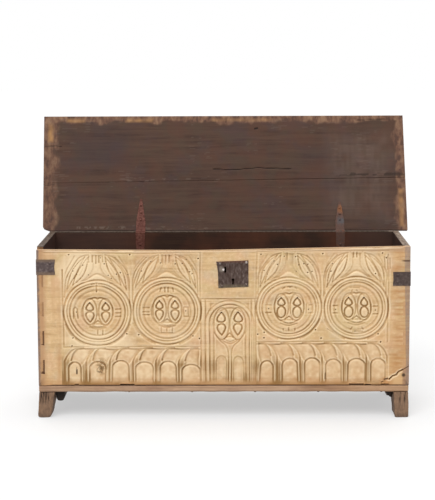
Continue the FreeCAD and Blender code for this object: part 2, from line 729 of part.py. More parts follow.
def back_strap(name):
    """The fixed leaf: over the back board's edge in a notch, and tapering down its inner face."""
    body = new_body(f"{name}_hinge_back_strap")
    width = f"{name}_strap_width"
    outer = f"({BACK_INNER} + strap_thickness)"
    bend = [
        ("0", "0"),
        (f"-{outer}", "0"),
        (f"-{outer}", "-back_strap_length"),
        (f"-{BACK_INNER}", "-back_strap_length"),
        (f"-{BACK_INNER}", "-strap_thickness"),
        ("0", "-strap_thickness"),
    ]
    pad(body, loops(body, "YZ", [bend], offset=f"-{width} / 2"), width)
    pad(body, circle(body, "YZ", KNUCKLE, offset=f"-{width} / 2"), width)
    pocket(body, circle(body, "YZ", "hinge_pin_radius + pin_clearance", offset=f"{width}"))
    half_gap = f"({width} / 6 + knuckle_gap)"
    middle_knuckle = box_corners(f"-{half_gap}", half_gap, f"-{KNUCKLE} - knuckle_gap", KNUCKLE)
    pocket(body, loops(body, "XY", [middle_knuckle], offset="back_strap_length"))
    tapers = []
    for side in (-1, 1):
        tapers.append([
            (f"{side} * {width} / 2", "-strap_parallel_length"),
            (f"{side} * {width} / 2", "-back_strap_length"),
            (f"{side} * strap_tip_width / 2", "-back_strap_length"),
        ])
    pocket(body, loops(body, "XZ", tapers, offset=f"-{KNUCKLE}"), backwards=True)
    return on_hinge(body, f"{name}_hinge_x")


def lid_strap(name):
    """The moving leaf: one knuckle between the fixed ones, and a taper under the rear plank."""
    body = new_body(f"{name}_hinge_lid_strap")
    width = f"{name}_strap_width"
    length = f"{name}_lid_strap_length"
    leaf = [
        (f"{width} / 2", "0"),
        (f"{width} / 2", "-strap_parallel_length"),
        ("strap_tip_width / 2", f"-{length}"),
        ("-strap_tip_width / 2", f"-{length}"),
        (f"-{width} / 2", "-strap_parallel_length"),
        (f"-{width} / 2", "0"),
    ]
    pad(body, loops(body, "XY", [leaf], offset="leaf_gap"), "strap_thickness")
    outer_knuckles = []
    for side in (-1, 1):
        outer_knuckles.append(box_corners(
            f"{side} * {width} / 6", f"{side} * {width}", f"-{KNUCKLE} - knuckle_gap", KNUCKLE,
        ))
    pocket(body, loops(body, "XY", outer_knuckles, offset="strap_thickness * 2"))
    pad(body, circle(body, "YZ", KNUCKLE, offset=f"-{width} / 6"), f"{width} / 3")
    pocket(body, circle(body, "YZ", "hinge_pin_radius + pin_clearance", offset=f"{width}"))
    return on_hinge(body, f"{name}_hinge_x", open_turn())


def hinge_pin(name):
    """A pin with both ends peened over the fixed knuckles."""
    body = new_body(f"{name}_hinge_pin")
    half = f"({name}_strap_width / 2 + pin_clearance)"
    pad(body, circle(body, "YZ", "hinge_pin_radius", offset=f"-{half}"), f"2 * {half}")
    pad(body, circle(body, "YZ", "pin_head_radius", offset=half), "pin_head_length")
    pad(body, circle(body, "YZ", "pin_head_radius", offset=f"-{half} - pin_head_length"), "pin_head_length")
    return on_hinge(body, f"{name}_hinge_x")


back_strap_blanks = {name: back_strap(name) for name in ("left", "right")}
lid_strap_blanks = {name: lid_strap(name) for name in ("left", "right")}
hinge_pins = {name: hinge_pin(name) for name in ("left", "right")}

# ---------------------------------------------------------------------------------------------------
# Lock, drawn about the middle of the hasp slot in the front face of the carcass
# ---------------------------------------------------------------------------------------------------

def on_lock(piece):
    """Place a piece whose own origin is the middle of the hasp slot."""
    return on_carcass(piece, "lock_x", "rim_height - lock_drop")


PLATE_LEFT = f"({MORTISE_LEFT} - plate_left_border)"
PLATE_RIGHT = f"({MORTISE_RIGHT} + plate_border)"
PLATE_TOP = f"({MORTISE_TOP} + plate_border)"
PLATE_FOOT = f"({MORTISE_FOOT} - plate_border)"
plate_blank = new_body("lock_plate")
plate_outline = [
    (PLATE_LEFT, PLATE_TOP),
    (f"{PLATE_LEFT} + plate_waist", f"({PLATE_TOP} + {PLATE_FOOT}) / 4"),
    (f"{PLATE_LEFT} + plate_rake", PLATE_FOOT),
    (PLATE_RIGHT, f"{PLATE_FOOT} + plate_skew"),
    (PLATE_RIGHT, f"{PLATE_TOP} + plate_skew"),
]
pad(plate_blank, loops(plate_blank, "XZ", [plate_outline]), "plate_thickness")
plate_slots = [
    box_corners(
        "-hasp_slot_width / 2", "hasp_slot_width / 2",
        "-hasp_slot_height / 2", "hasp_slot_height / 2",
    ),
    box_corners(
        "key_x - key_slot_width / 2", "key_x + key_slot_width / 2",
        "-key_drop - key_slot_length", "-key_drop",
    ),
]
pocket(plate_blank, loops(plate_blank, "XZ", plate_slots, offset="plate_thickness"))
key_axis = ("key_x", "-key_drop")
pocket(plate_blank, circle(plate_blank, "XZ", "key_hole_radius", offset="plate_thickness", centre=key_axis))
on_lock(plate_blank)

TALON_FOOT = "(-bolt_height / 2 - talon_drop)"
bolt = new_body("lock_bolt")
bolt_outline = [
    (BOLT_START, "bolt_height / 2"),
    (BOLT_START, "-bolt_height / 2"),
    (f"{TALON_MIDDLE} - {TALON_HALF}", "-bolt_height / 2"),
    (f"{TALON_MIDDLE} - {TALON_HALF}", TALON_FOOT),
    (f"{TALON_MIDDLE} - talon_notch_width / 2", TALON_FOOT),
    (f"{TALON_MIDDLE} - talon_notch_width / 2", f"{TALON_FOOT} + talon_notch_height"),
    (f"{TALON_MIDDLE} + talon_notch_width / 2", f"{TALON_FOOT} + talon_notch_height"),
    (f"{TALON_MIDDLE} + talon_notch_width / 2", TALON_FOOT),
    (f"{TALON_MIDDLE} + {TALON_HALF}", TALON_FOOT),
    (f"{TALON_MIDDLE} + {TALON_HALF}", "-bolt_height / 2"),
    (BOLT_END, "-bolt_height / 2"),
    (BOLT_END, "bolt_height / 2"),
]
bolt_sketch = loops(bolt, "XZ", [bolt_outline], offset="-bolt_clearance")
pad(bolt, bolt_sketch, "bolt_thickness", backwards=True)
on_lock(bolt)


def bolt_guide(label, start):
    """A staple on the back of the plate, round the bolt."""
    body = new_body(label)
    bore_depth = "(bolt_thickness + 2 * bolt_clearance)"
    bore_half = "(bolt_height / 2 + bolt_clearance)"
    staple = [
        ("0", bore_half),
        ("0", f"{bore_half} + guide_bar"),
        (f"{bore_depth} + guide_bar", f"{bore_half} + guide_bar"),
        (f"{bore_depth} + guide_bar", f"-{bore_half} - guide_bar"),
        ("0", f"-{bore_half} - guide_bar"),
        ("0", f"-{bore_half}"),
        (bore_depth, f"-{bore_half}"),
        (bore_depth, bore_half),
    ]
    pad(body, loops(body, "YZ", [staple], offset=start), "guide_width")
    return on_lock(body)


bolt_guides = doc.addObject("Part::Compound", "lock_bolt_guides")
bolt_guides.Links = [bolt_guide("first_guide", FIRST_GUIDE_X), bolt_guide("second_guide", SECOND_GUIDE_X)]

SPRING_FOOT_X = f"({SECOND_GUIDE_X} + guide_width + bolt_clearance)"
spring = new_body("lock_spring")
spring_outline = [
    (f"{SPRING_FOOT_X} + spring_foot", SPRING_SEAT),
    (f"{SPRING_FOOT_X} + spring_foot", f"{SPRING_SEAT} + spring_rise + spring_blade"),
    (SPRING_FOOT_X, f"{SPRING_SEAT} + spring_rise + spring_blade"),
    (f"{SPRING_FOOT_X} - spring_reach", f"{SPRING_SEAT} + spring_blade"),
    (f"{SPRING_FOOT_X} - spring_reach", SPRING_SEAT),
    (SPRING_FOOT_X, f"{SPRING_SEAT} + spring_rise"),
    (SPRING_FOOT_X, SPRING_SEAT),
]
pad(spring, loops(spring, "XZ", [spring_outline]), "spring_depth", backwards=True)
on_lock(spring)

# ---------------------------------------------------------------------------------------------------
# Corner straps: sheet iron bent round each front corner, with a fishtail end
# ---------------------------------------------------------------------------------------------------

def corner_strap(name, side):
    """An L of sheet iron on the front and side boards."""
    body = new_body(f"{name}_corner_strap")
    inward = -side
    reach = f"{inward} * {name}_corner_reach"
    outside = f"{side} * corner_strap_thickness"
    bend = [
        (outside, "-corner_strap_thickness"),
        (reach, "-corner_strap_thickness"),
        (reach, "0"),
        ("0", "0"),
        ("0", "corner_strap_side"),
        (outside, "corner_strap_side"),
    ]
    pad(body, loops(body, "XY", [bend]), f"{name}_corner_height")
    fishtail = [
        (reach, "0"),
        (reach, f"{name}_corner_height"),
        (f"{inward} * ({name}_corner_reach - {name}_corner_notch)", f"{name}_corner_height / 2"),
    ]
    fishtail_sketch = loops(body, "XZ", [fishtail], offset="corner_strap_thickness * 2")
    pocket(body, fishtail_sketch, "corner_strap_thickness * 3")
    return on_carcass(
        body, f"{side} * chest_length / 2", f"rim_height - {name}_corner_drop - {name}_corner_height",
    )


left_corner_blank = corner_strap("left", -1)
right_corner_blank = corner_strap("right", 1)
doc.recompute()

# ---------------------------------------------------------------------------------------------------
# Nails, pegs and dowels: solids of their own, and the tools that bore their holes
# ---------------------------------------------------------------------------------------------------

X_AXIS = FreeCAD.Vector(1, 0, 0)
Y_AXIS = FreeCAD.Vector(0, 1, 0)
Z_AXIS = FreeCAD.Vector(0, 0, 1)

chest_half = size("chest_length") / 2
# Places that the expressions above gave, read back from the pieces
front_face = front_blank.Placement.Base.y
rear_face = front_face + size("chest_depth")
hinge_place = hinge_pins["left"].Placement.Base


def nail(point, outward, length):
    """A hand-forged nail: a faceted head on the surface and a square shank driven in behind it."""
    half = size("nail_head_width") / 2
    top = size("nail_head_top") / 2
    thick = size("nail_shank_width")
    # a wedge narrows along its own Y, which is turned up to be the head's axis
    head = Part.makeWedge(-half, 0, -half, -top, -top, half, size("nail_head_height"), half, top, top)
    head.rotate(FreeCAD.Vector(), X_AXIS, 90)
    shank = Part.makeBox(thick, thick, length, FreeCAD.Vector(-thick / 2, -thick / 2, -length))
    solid = head.fuse(shank)
    solid.Placement = FreeCAD.Placement(point, FreeCAD.Rotation(Z_AXIS, outward))
    return solid


def turned_by(solids, placement):
    """Solids drawn with the lid closed, moved to where the hinge holds them."""
    for solid in solids:
        solid.Placement = placement.multiply(solid.Placement)
    return solids


IRON_NAIL = size("iron_nail_length")

# Lock plate: one nail in each corner, clear of the mortise
plate_box = plate_blank.Shape.BoundBox
plate_face = front_face - size("plate_thickness")
nail_inset = size("plate_nail_inset")
plate_left_nail = plate_box.XMin + nail_inset + size("plate_waist")
plate_right_nail = plate_box.XMax - nail_inset
plate_nail_spots = [
    (plate_left_nail, plate_box.ZMax - size("plate_skew") - nail_inset),
    (plate_left_nail + size("plate_rake"), plate_box.ZMin + nail_inset),
    (plate_right_nail, plate_box.ZMax - nail_inset),
    (plate_right_nail, plate_box.ZMin + size("plate_skew") + nail_inset),
]
plate_nail_solids = []
for x, z in plate_nail_spots:
    plate_nail_solids.append(nail(FreeCAD.Vector(x, plate_face, z), -Y_AXIS, IRON_NAIL))
lock_plate_nails = fastener_group("lock_plate_nails", plate_nail_solids)

# Corner straps: two nails on the front and two on the side
corner_nail_solids = []
for name, side in (("left", -1), ("right", 1)):
    strap_middle = size("rim_height") - size(f"{name}_corner_drop") - size(f"{name}_corner_height") / 2
    quarter = size(f"{name}_corner_height") / 4
    edge_x = side * chest_half
    front_x = edge_x - side * (size(f"{name}_corner_reach") - size("corner_nail_inset"))
    side_y = front_face + size("corner_strap_side") - size("corner_nail_inset")
    for rise in (-quarter, quarter):
        front_spot = FreeCAD.Vector(front_x, front_face - size("corner_strap_thickness"), strap_middle + rise)
        corner_nail_solids.append(nail(front_spot, -Y_AXIS, IRON_NAIL))
        side_x = edge_x + side * size("corner_strap_thickness")
        side_spot = FreeCAD.Vector(side_x, side_y, strap_middle + rise)
        corner_nail_solids.append(nail(side_spot, X_AXIS * side, IRON_NAIL))
corner_strap_nails = fastener_group("corner_strap_nails", corner_nail_solids)

# Hinge straps: nails down the middle of each strap
def strap_nail_reaches(strap_length):
    """Distances from the hinge pin to the nails of a strap."""
    last = strap_length - size("strap_nail_last")
    return evenly(size("strap_nail_first"), last, size("strap_nail_count"))


back_nail_solids = []
lid_nail_solids = []
strap_face = rear_face - size("back_thickness") - size("strap_thickness")
for name in ("left", "right"):
    hinge_x = size(f"{name}_hinge_x")
    for reach in strap_nail_reaches(size("back_strap_length")):
        back_spot = FreeCAD.Vector(hinge_x, strap_face, hinge_place.z - reach)
        back_nail_solids.append(nail(back_spot, -Y_AXIS, IRON_NAIL))
    for reach in strap_nail_reaches(size(f"{name}_lid_strap_length")):
        lid_spot = FreeCAD.Vector(hinge_x, -reach, size("leaf_gap"))
        lid_nail_solids.append(nail(lid_spot, -Z_AXIS, IRON_NAIL))
lid_at_stop = FreeCAD.Placement(hinge_place - X_AXIS * hinge_place.x, open_turn())
hinge_back_nails = fastener_group("hinge_back_nails", back_nail_solids)
hinge_lid_nails = fastener_group("hinge_lid_nails", turned_by(lid_nail_solids, lid_at_stop))

# Bottom: nails driven up through the planks into the front and back boards
bottom_nail_solids = []
nail_reach = chest_half - size("bottom_nail_margin")
board_lines = (front_face + size("front_thickness") / 2, rear_face - size("back_thickness") / 2)
for x in evenly(-nail_reach, nail_reach, size("bottom_nail_count")):
    for y in board_lines:
        spot = FreeCAD.Vector(x, y, size("foot_height"))
        bottom_nail_solids.append(nail(spot, -Z_AXIS, size("bottom_thickness") + size("bottom_nail_bite")))
bottom_nails = fastener_group("bottom_nails", bottom_nail_solids)

# Battens: two nails up into each bottom plank
batten_nail_solids = []
seam_y = front_face + size("front_plank_width")
nail_inset = size("batten_nail_inset")
batten_rows = (
    front_face + size("batten_setback") + nail_inset,
    seam_y - nail_inset,
    seam_y + nail_inset,
    rear_face - size("batten_setback") - nail_inset,
)
right_batten_flat = size("right_batten_width") - size("right_batten_bevel")
for name, side, flat in (("left", -1, size("left_batten_width")), ("right", 1, right_batten_flat)):
    outer_edge = chest_half - size(f"{name}_foot_width") - size("batten_gap")
    height = size(f"{name}_batten_height")
    for y in batten_rows:
        spot = FreeCAD.Vector(side * (outer_edge - flat / 2), y, size("foot_height") - height)
        batten_nail_solids.append(nail(spot, -Z_AXIS, height + size("batten_nail_bite")))
batten_nails = fastener_group("batten_nails", batten_nail_solids)


def riven_bar(foot, direction, radius, length):
    """A dowel or peg from one end, riven and whittled flat-sided, square to the X axis."""
    facet_turn = 360 / size("riven_sides")
    corners = []
    for number in range(int(size("riven_sides"))):
        turn = FreeCAD.Rotation(direction, facet_turn * (number + 0.5))
        corners.append(foot + turn.multVec(X_AXIS * radius))
    return Part.Face(Part.makePolygon(corners + corners[:1])).extrude(direction * length)


# Pegs down through the bottom planks into each end of both runners
fit = size("fit_clearance")
peg_solids = []
peg_holes = []
plank_top = size("foot_height") + size("bottom_thickness")
peg_length = size("bottom_thickness") + size("peg_bite")
peg_x = chest_half - size("side_thickness") - size("peg_inset")
for x in (-peg_x, peg_x):
    for y in (front_face + size("foot_length") / 2, rear_face - size("foot_length") / 2):
        head = FreeCAD.Vector(x, y, plank_top)
        peg_solids.append(riven_bar(head, -Z_AXIS, size("peg_radius"), peg_length))
        peg_holes.append(riven_bar(head, -Z_AXIS, size("peg_radius") + fit, peg_length + fit))
runner_pegs = fastener_group("runner_pegs", peg_solids)
runner_peg_holes = fastener_group("runner_peg_holes", peg_holes)

# Dowels across the joint between the two planks of the lid
dowel_solids = []
dowel_holes = []
lid_half = chest_half + size("lid_side_overhang")
dowel_reach = lid_half - size("dowel_end_margin")
pivot_back = hinge_place.y - rear_face
dowel_height = size("strap_thickness") + size("leaf_gap") + size("lid_thickness") / 2
for x in evenly(-dowel_reach, dowel_reach, size("dowel_count")):
    share = (x + lid_half) / (2 * lid_half)
    joint = size("rear_plank_left") + share * (size("rear_plank_right") - size("rear_plank_left"))
    foot = FreeCAD.Vector(x, -pivot_back - joint - size("dowel_length") / 2, dowel_height)
    dowel_solids.append(riven_bar(foot, Y_AXIS, size("dowel_radius"), size("dowel_length")))
    hole_radius = size("dowel_radius") + fit
    hole_length = size("dowel_length") + 2 * fit
    dowel_holes.append(riven_bar(foot - Y_AXIS * fit, Y_AXIS, hole_radius, hole_length))
lid_dowels = fastener_group("lid_dowels", turned_by(dowel_solids, lid_at_stop))
lid_dowel_holes = fastener_group("lid_dowel_holes", turned_by(dowel_holes, lid_at_stop))

# ---------------------------------------------------------------------------------------------------
# Finished pieces
# ---------------------------------------------------------------------------------------------------

pieces = [
    bored(front_blank, "front_board", [lock_plate_nails, corner_strap_nails, bottom_nails]),
    bored(back_blank, "back_board", [hinge_back_nails, bottom_nails]),
    bored(left_side_blank, "left_side_board", [corner_strap_nails]),
    bored(right_side_blank, "right_side_board", [corner_strap_nails]),
    bored(front_plank_blank, "bottom_front_plank", [bottom_nails, batten_nails, runner_peg_holes]),
    bored(rear_plank_blank, "bottom_rear_plank", [bottom_nails, batten_nails, runner_peg_holes]),
    bored(left_runner_blank, "left_runner", [runner_peg_holes]),
    bored(right_runner_blank, "right_runner", [runner_peg_holes]),
    bored(left_batten_blank, "left_batten", [batten_nails]),
    bored(right_batten_blank, "right_batten", [batten_nails]),
    bored(front_lid_blank, "lid_front_plank", [lid_dowel_holes]),
    bored(rear_lid_blank, "lid_rear_plank", [lid_dowel_holes, hinge_lid_nails]),
    bored(plate_blank, "lock_plate", [lock_plate_nails]),
    bored(left_corner_blank, "left_corner_strap", [corner_strap_nails]),
    bored(right_corner_blank, "right_corner_strap", [corner_strap_nails]),
    bolt,
    bolt_guides,
    spring,
    lock_plate_nails,
    corner_strap_nails,
    hinge_back_nails,
    hinge_lid_nails,
    bottom_nails,
    batten_nails,
    runner_pegs,
    lid_dowels,
]
for name in ("left", "right"):
    pieces.append(bored(back_strap_blanks[name], f"{name}_hinge_back_strap", [hinge_back_nails]))
    pieces.append(bored(lid_strap_blanks[name], f"{name}_hinge_lid_strap", [hinge_lid_nails]))
    pieces.append(hinge_pins[name])

doc.recompute()

for item in doc.Objects:
    if "Invalid" in item.State or "Error" in item.State:
        raise RuntimeError(f"{item.Label} failed: {item.State}")

os.makedirs("parts", exist_ok=True)
for piece in pieces:
    shape = piece.Shape
    if shape.isNull() or not shape.isValid() or not shape.Solids:
        raise RuntimeError(f"{piece.Label} has no valid solid")
    shape.exportStep(f"parts/{piece.Label}.step")
print(len(pieces), "nodes")
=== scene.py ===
import json
import math

import bpy
import numpy as np
from mathutils import Matrix, Vector, noise


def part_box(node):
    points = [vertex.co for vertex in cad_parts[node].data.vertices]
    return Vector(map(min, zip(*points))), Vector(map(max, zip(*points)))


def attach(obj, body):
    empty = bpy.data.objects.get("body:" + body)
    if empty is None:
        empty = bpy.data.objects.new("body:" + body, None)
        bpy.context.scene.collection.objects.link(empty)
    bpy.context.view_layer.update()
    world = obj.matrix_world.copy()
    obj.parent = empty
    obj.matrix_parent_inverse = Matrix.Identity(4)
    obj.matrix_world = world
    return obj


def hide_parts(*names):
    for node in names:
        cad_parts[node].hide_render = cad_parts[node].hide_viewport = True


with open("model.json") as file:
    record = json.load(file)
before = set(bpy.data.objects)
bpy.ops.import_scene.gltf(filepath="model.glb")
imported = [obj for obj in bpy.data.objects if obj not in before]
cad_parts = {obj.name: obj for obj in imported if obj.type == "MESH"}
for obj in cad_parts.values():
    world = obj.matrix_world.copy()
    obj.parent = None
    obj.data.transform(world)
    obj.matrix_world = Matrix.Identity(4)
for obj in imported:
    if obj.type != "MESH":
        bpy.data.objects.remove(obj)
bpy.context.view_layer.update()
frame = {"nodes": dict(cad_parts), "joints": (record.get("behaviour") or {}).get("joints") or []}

nodes = frame["nodes"]
MM = 0.001


# Runners
# Two sledge feet of oak, one under each end, sawn to an arch between their front and rear feet.
# They have stood on damp floors: grey brown end grain, split from the top, with corners worn round.
def linear(code):
    """The linear colour that a shader takes, from an sRGB hex value."""
    shares = [int(code[place:place + 2], 16) / 255 for place in (1, 3, 5)]
    return [s / 12.92 if s <= 0.04045 else ((s + 0.055) / 1.055) ** 2.4 for s in shares] + [1]


def add(tree, kind, inputs=(), output=None, stops=(), **settings):
    """Adds one shader node with its settings and links, and gives back its output."""
    node = tree.nodes.new("ShaderNode" + kind)
    for name, value in settings.items():
        setattr(node, name, value)
    for place, value in inputs.items() if isinstance(inputs, dict) else enumerate(inputs):
        if isinstance(value, bpy.types.NodeSocket):
            tree.links.new(value, node.inputs[place])
        else:
            node.inputs[place].default_value = linear(value) if isinstance(value, str) else value
    for number, (position, colour) in enumerate(stops):
        if number > 1:
            node.color_ramp.elements.new(position)
        node.color_ramp.elements[number].position = position
        node.color_ramp.elements[number].color = linear(colour)
    if output:
        return node.outputs[output]
    return next((socket for socket in node.outputs if socket.enabled), None)


def new_material(name):
    """An empty material, its nodes, and the place that its patterns read, whole and as x, y and z."""
    material = bpy.data.materials.new(name)
    material.use_nodes = True
    tree = material.node_tree
    tree.nodes.clear()
    place = add(tree, "TexCoord", output="Object")
    return material, tree, (place, *add(tree, "SeparateXYZ", (place,)).node.outputs)


def coats(tree, tone, layers):
    """Lays colours over a tone. Before each colour stand its shares, which are multiplied: sockets, or
    ramps that say what they follow, where they start and end, and the share at either end."""
    for *shares, colour in layers:
        product, *limits = [
            add(tree, "MapRange", share) if isinstance(share, tuple) else share for share in shares]
        for limit in limits:
            product = add(tree, "Math", (product, limit), operation="MULTIPLY")
        tone = add(tree, "Mix", {0: product, 6: tone, 7: colour}, data_type="RGBA")
    return tone


def timber(name, pale, middle, dark, run=(0.05, 1, 1), ring_mm=14, fibre_mm=2.6, cloud_mm=130):
    """Starts a wood: rings and fibres drawn out along the grain, and clouds of paler wood."""
    wood, tree, where = new_material(name)
    along = add(tree, "Mapping", {"Vector": where[0], "Scale": run})
    rings = add(tree, "TexNoise", {
        "Vector": along, "Scale": 1000 / ring_mm, "Detail": 4, "Roughness": 0.6, "Distortion": 0.8})
    fibres = add(tree, "TexNoise", {"Vector": along, "Scale": 1000 / fibre_mm, "Detail": 3, "Roughness": 0.7})
    clouds = add(tree, "TexNoise", {"Vector": where[0], "Scale": 1000 / cloud_mm, "Detail": 3})
    tone = add(tree, "ValToRGB", (rings,), stops=((0.33, dark), (0.5, middle), (0.66, pale)))
    tone = coats(tree, tone, (((clouds, 0.35, 0.7, 0, 0.5), pale), ((fibres, 0.5, 0.76, 0, 0.5), dark)))
    return wood, tree, where, tone, add(tree, "Math", (rings, fibres), operation="ADD")


def finish(tree, tone, layers, height, roughness, relief_mm, metallic=0.0, specular=0.5):
    """Ends a material: the stains over its tone, the height of its relief in mm and how dull it is."""
    normal = add(tree, "Bump", {"Height": height, "Distance": relief_mm * MM, "Strength": 1.0})
    add(tree, "OutputMaterial", {"Surface": add(tree, "BsdfPrincipled", {
        "Base Color": coats(tree, tone, layers), "Roughness": roughness, "Normal": normal,
        "Metallic": metallic, "Specular IOR Level": specular})})


def dress(material, *names):
    """Gives CAD pieces a finish."""
    for name in names:
        for place in nodes[name].material_slots:
            place.material = material


def alone(piece):
    """Selects one object only."""
    bpy.ops.object.select_all(action="DESELECT")
    piece.select_set(True)
    bpy.context.view_layer.objects.active = piece


def shape(piece, kind, **settings):
    """Puts a modifier on a piece and applies it."""
    alone(piece)
    modifier = piece.modifiers.new(kind.lower(), kind)
    for name, value in settings.items():
        setattr(modifier, name, value)
    bpy.ops.object.modifier_apply(modifier=modifier.name)


def copy_of(node, name, material):
    """A merged copy of a CAD piece in its own finish."""
    piece = bpy.data.objects.new(name, nodes[node].data.copy())
    bpy.context.scene.collection.objects.link(piece)
    piece.data.materials.clear()
    piece.data.materials.append(material)
    alone(piece)
    bpy.ops.object.mode_set(mode="EDIT")
    bpy.ops.mesh.select_all(action="SELECT")
    bpy.ops.mesh.remove_doubles(threshold=0.02 * MM)
    bpy.ops.object.mode_set(mode="OBJECT")
    return piece


def points_of(piece):
    """A piece's points in mm."""
    flat = np.empty(len(piece.data.vertices) * 3)
    piece.data.vertices.foreach_get("co", flat)
    return flat.reshape(-1, 3) / MM


def move_points(piece, points):
    """Puts a piece's points in their new places, in mm."""
    piece.data.vertices.foreach_set("co", (points * MM).ravel())
    piece.data.update()


def paint(piece, name, values):
    """Keeps a number at each point, for a material to read."""
    layer = piece.data.attributes.new(name, "FLOAT", "POINT")
    layer.data.foreach_set("value", np.asarray(values, np.float32).ravel())


def worn_copy(node, material, cell_mm, wear_mm, lump_mm):
    """A CAD piece recast in even cells, its corners rounded by use and its faces uneven."""
    piece = copy_of(node, node + "_worn", material)
    shape(piece, "REMESH", mode="VOXEL", voxel_size=cell_mm * MM)
    shape(piece, "SMOOTH", factor=0.5, iterations=3)
    points = points_of(piece)
    normals = np.array([v.normal for v in piece.data.vertices])
    lumps = np.array([noise.noise(Vector(p) / lump_mm) for p in points]).clip(-0.5, 0.5)
    move_points(piece, points - normals * (wear_mm * (0.5 + lumps))[:, None])
    alone(piece)
    bpy.ops.object.shade_smooth()
    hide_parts(node)
    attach(piece, "chest")
    return piece


foot_oak, tree, (place, x, y, z), tone, grain = timber(
    "weathered oak of the feet", "#8E6F55", "#795D47", "#523C2E", run=(1, 0.05, 0.35), ring_mm=9)
split = add(tree, "Attribute", output="Fac", attribute_name="split")
# Damp at the floor, and dirt in the splits.
finish(tree, tone, (((z, 0.0, 0.022, 0.5, 0), "#4C3C31"), (split, "#24150E")),
       grain, roughness=0.75, relief_mm=0.5)

# Each split: where it stands along the chest and half its width, in mm.
SPLITS = {
    "left_runner": ((-742, 1.5), (-733, 1.6), (-722, 1.8), (-712, 1.2)),
    "right_runner": ((735, 1.6), (716, 1.2))}
SPLIT_FOOT = 54
SPLIT_FADE = 14
SPLIT_DEPTH = 9
SPLIT_SWAY = 1.5
SPLIT_BEND = 13
for node, splits in SPLITS.items():
    foot = worn_copy(node, foot_oak, cell_mm=3.2, wear_mm=1.6, lump_mm=34)
    points = points_of(foot)
    end_grain = points[:, 1] < points[:, 1].min() + SPLIT_DEPTH
    opened = np.zeros(len(points))
    for x, half in splits:
        line = x + SPLIT_SWAY * np.sin(points[:, 2] / SPLIT_BEND)
        opened += np.exp(-((points[:, 0] - line) / half) ** 2)
    opened = (opened * ((points[:, 2] - SPLIT_FOOT) / SPLIT_FADE).clip(0, 1) * end_grain).clip(0, 1)
    points[:, 1] += SPLIT_DEPTH * opened
    move_points(foot, points)
    paint(foot, "split", opened)
dress(foot_oak, "runner_pegs")


# Battens
# A round pole on the left and a squared one on the right, of oak, set back under the bottom planks,
# which are nailed to them. Soot and damp have darkened them, and their colour is made almost black as painted
# shade.
dark_oak, tree, _, tone, grain = timber(
    "oak of the battens, with painted shade", "#2E2119", "#211711", "#120C08", run=(1, 0.05, 1), ring_mm=10)
finish(tree, tone, (), grain, roughness=0.8, relief_mm=0.4)
for node, slimmer, deeper in (("left_batten", 0.84, 1.35), ("right_batten", 1.0, 1.1)):
    batten = worn_copy(node, dark_oak, cell_mm=3.0, wear_mm=1.2, lump_mm=40)
    points = points_of(batten)
    outer = points[:, 0].min() if node == "left_batten" else points[:, 0].max()
    points[:, 0] = outer + (points[:, 0] - outer) * slimmer
    top = points[:, 2].max()
    points[:, 2] = top + (points[:, 2] - top) * deeper
    move_points(batten, points)


# Bottom planks
# Two oak planks laid lengthwise and nailed up into the boards. The front edge shows under the carved
# board as a rough strip: greyer and redder than the board, rounded by kicks, with a ragged arris.
bottom_oak, tree, (place, x, y, z), tone, grain = timber(
    "oak of the bottom planks", "#BF9D7F", "#AC896B", "#80614A", run=(0.04, 1, 1), ring_mm=11)
ragged = add(tree, "TexNoise", {"Vector": place, "Scale": 1000 / 111.1, "Detail": 3})
finish(tree, tone, (
    ((ragged, 0.48, 0.68, 0, 0.6), "#86624E"),  # redder in clouds
    ((z, 0.117, 0.107, 0, 0.5), "#6E5545"),  # darker along the lower edge: painted shade
    ((x, -0.69, -0.72, 0, 0.5), "#8D6A50"),  # darker at its left end
    ((x, 0.25, 0.50, 0, 0.3), "#A67746"),  # and more orange to the right
    ((z, 0.1315, 0.1335, 0, 0.85), "#2B1C12"),  # painted shade on the plank's top, in the joint under the boards
    ((y, -0.33, -0.3, 0, 0.85), "#4B372B"),  # dark underneath, behind its front edge
    ), grain, roughness=0.72, relief_mm=0.5)
for node in ("bottom_front_plank", "bottom_rear_plank"):
    plank = worn_copy(node, bottom_oak, cell_mm=4.0, wear_mm=1.8, lump_mm=60)


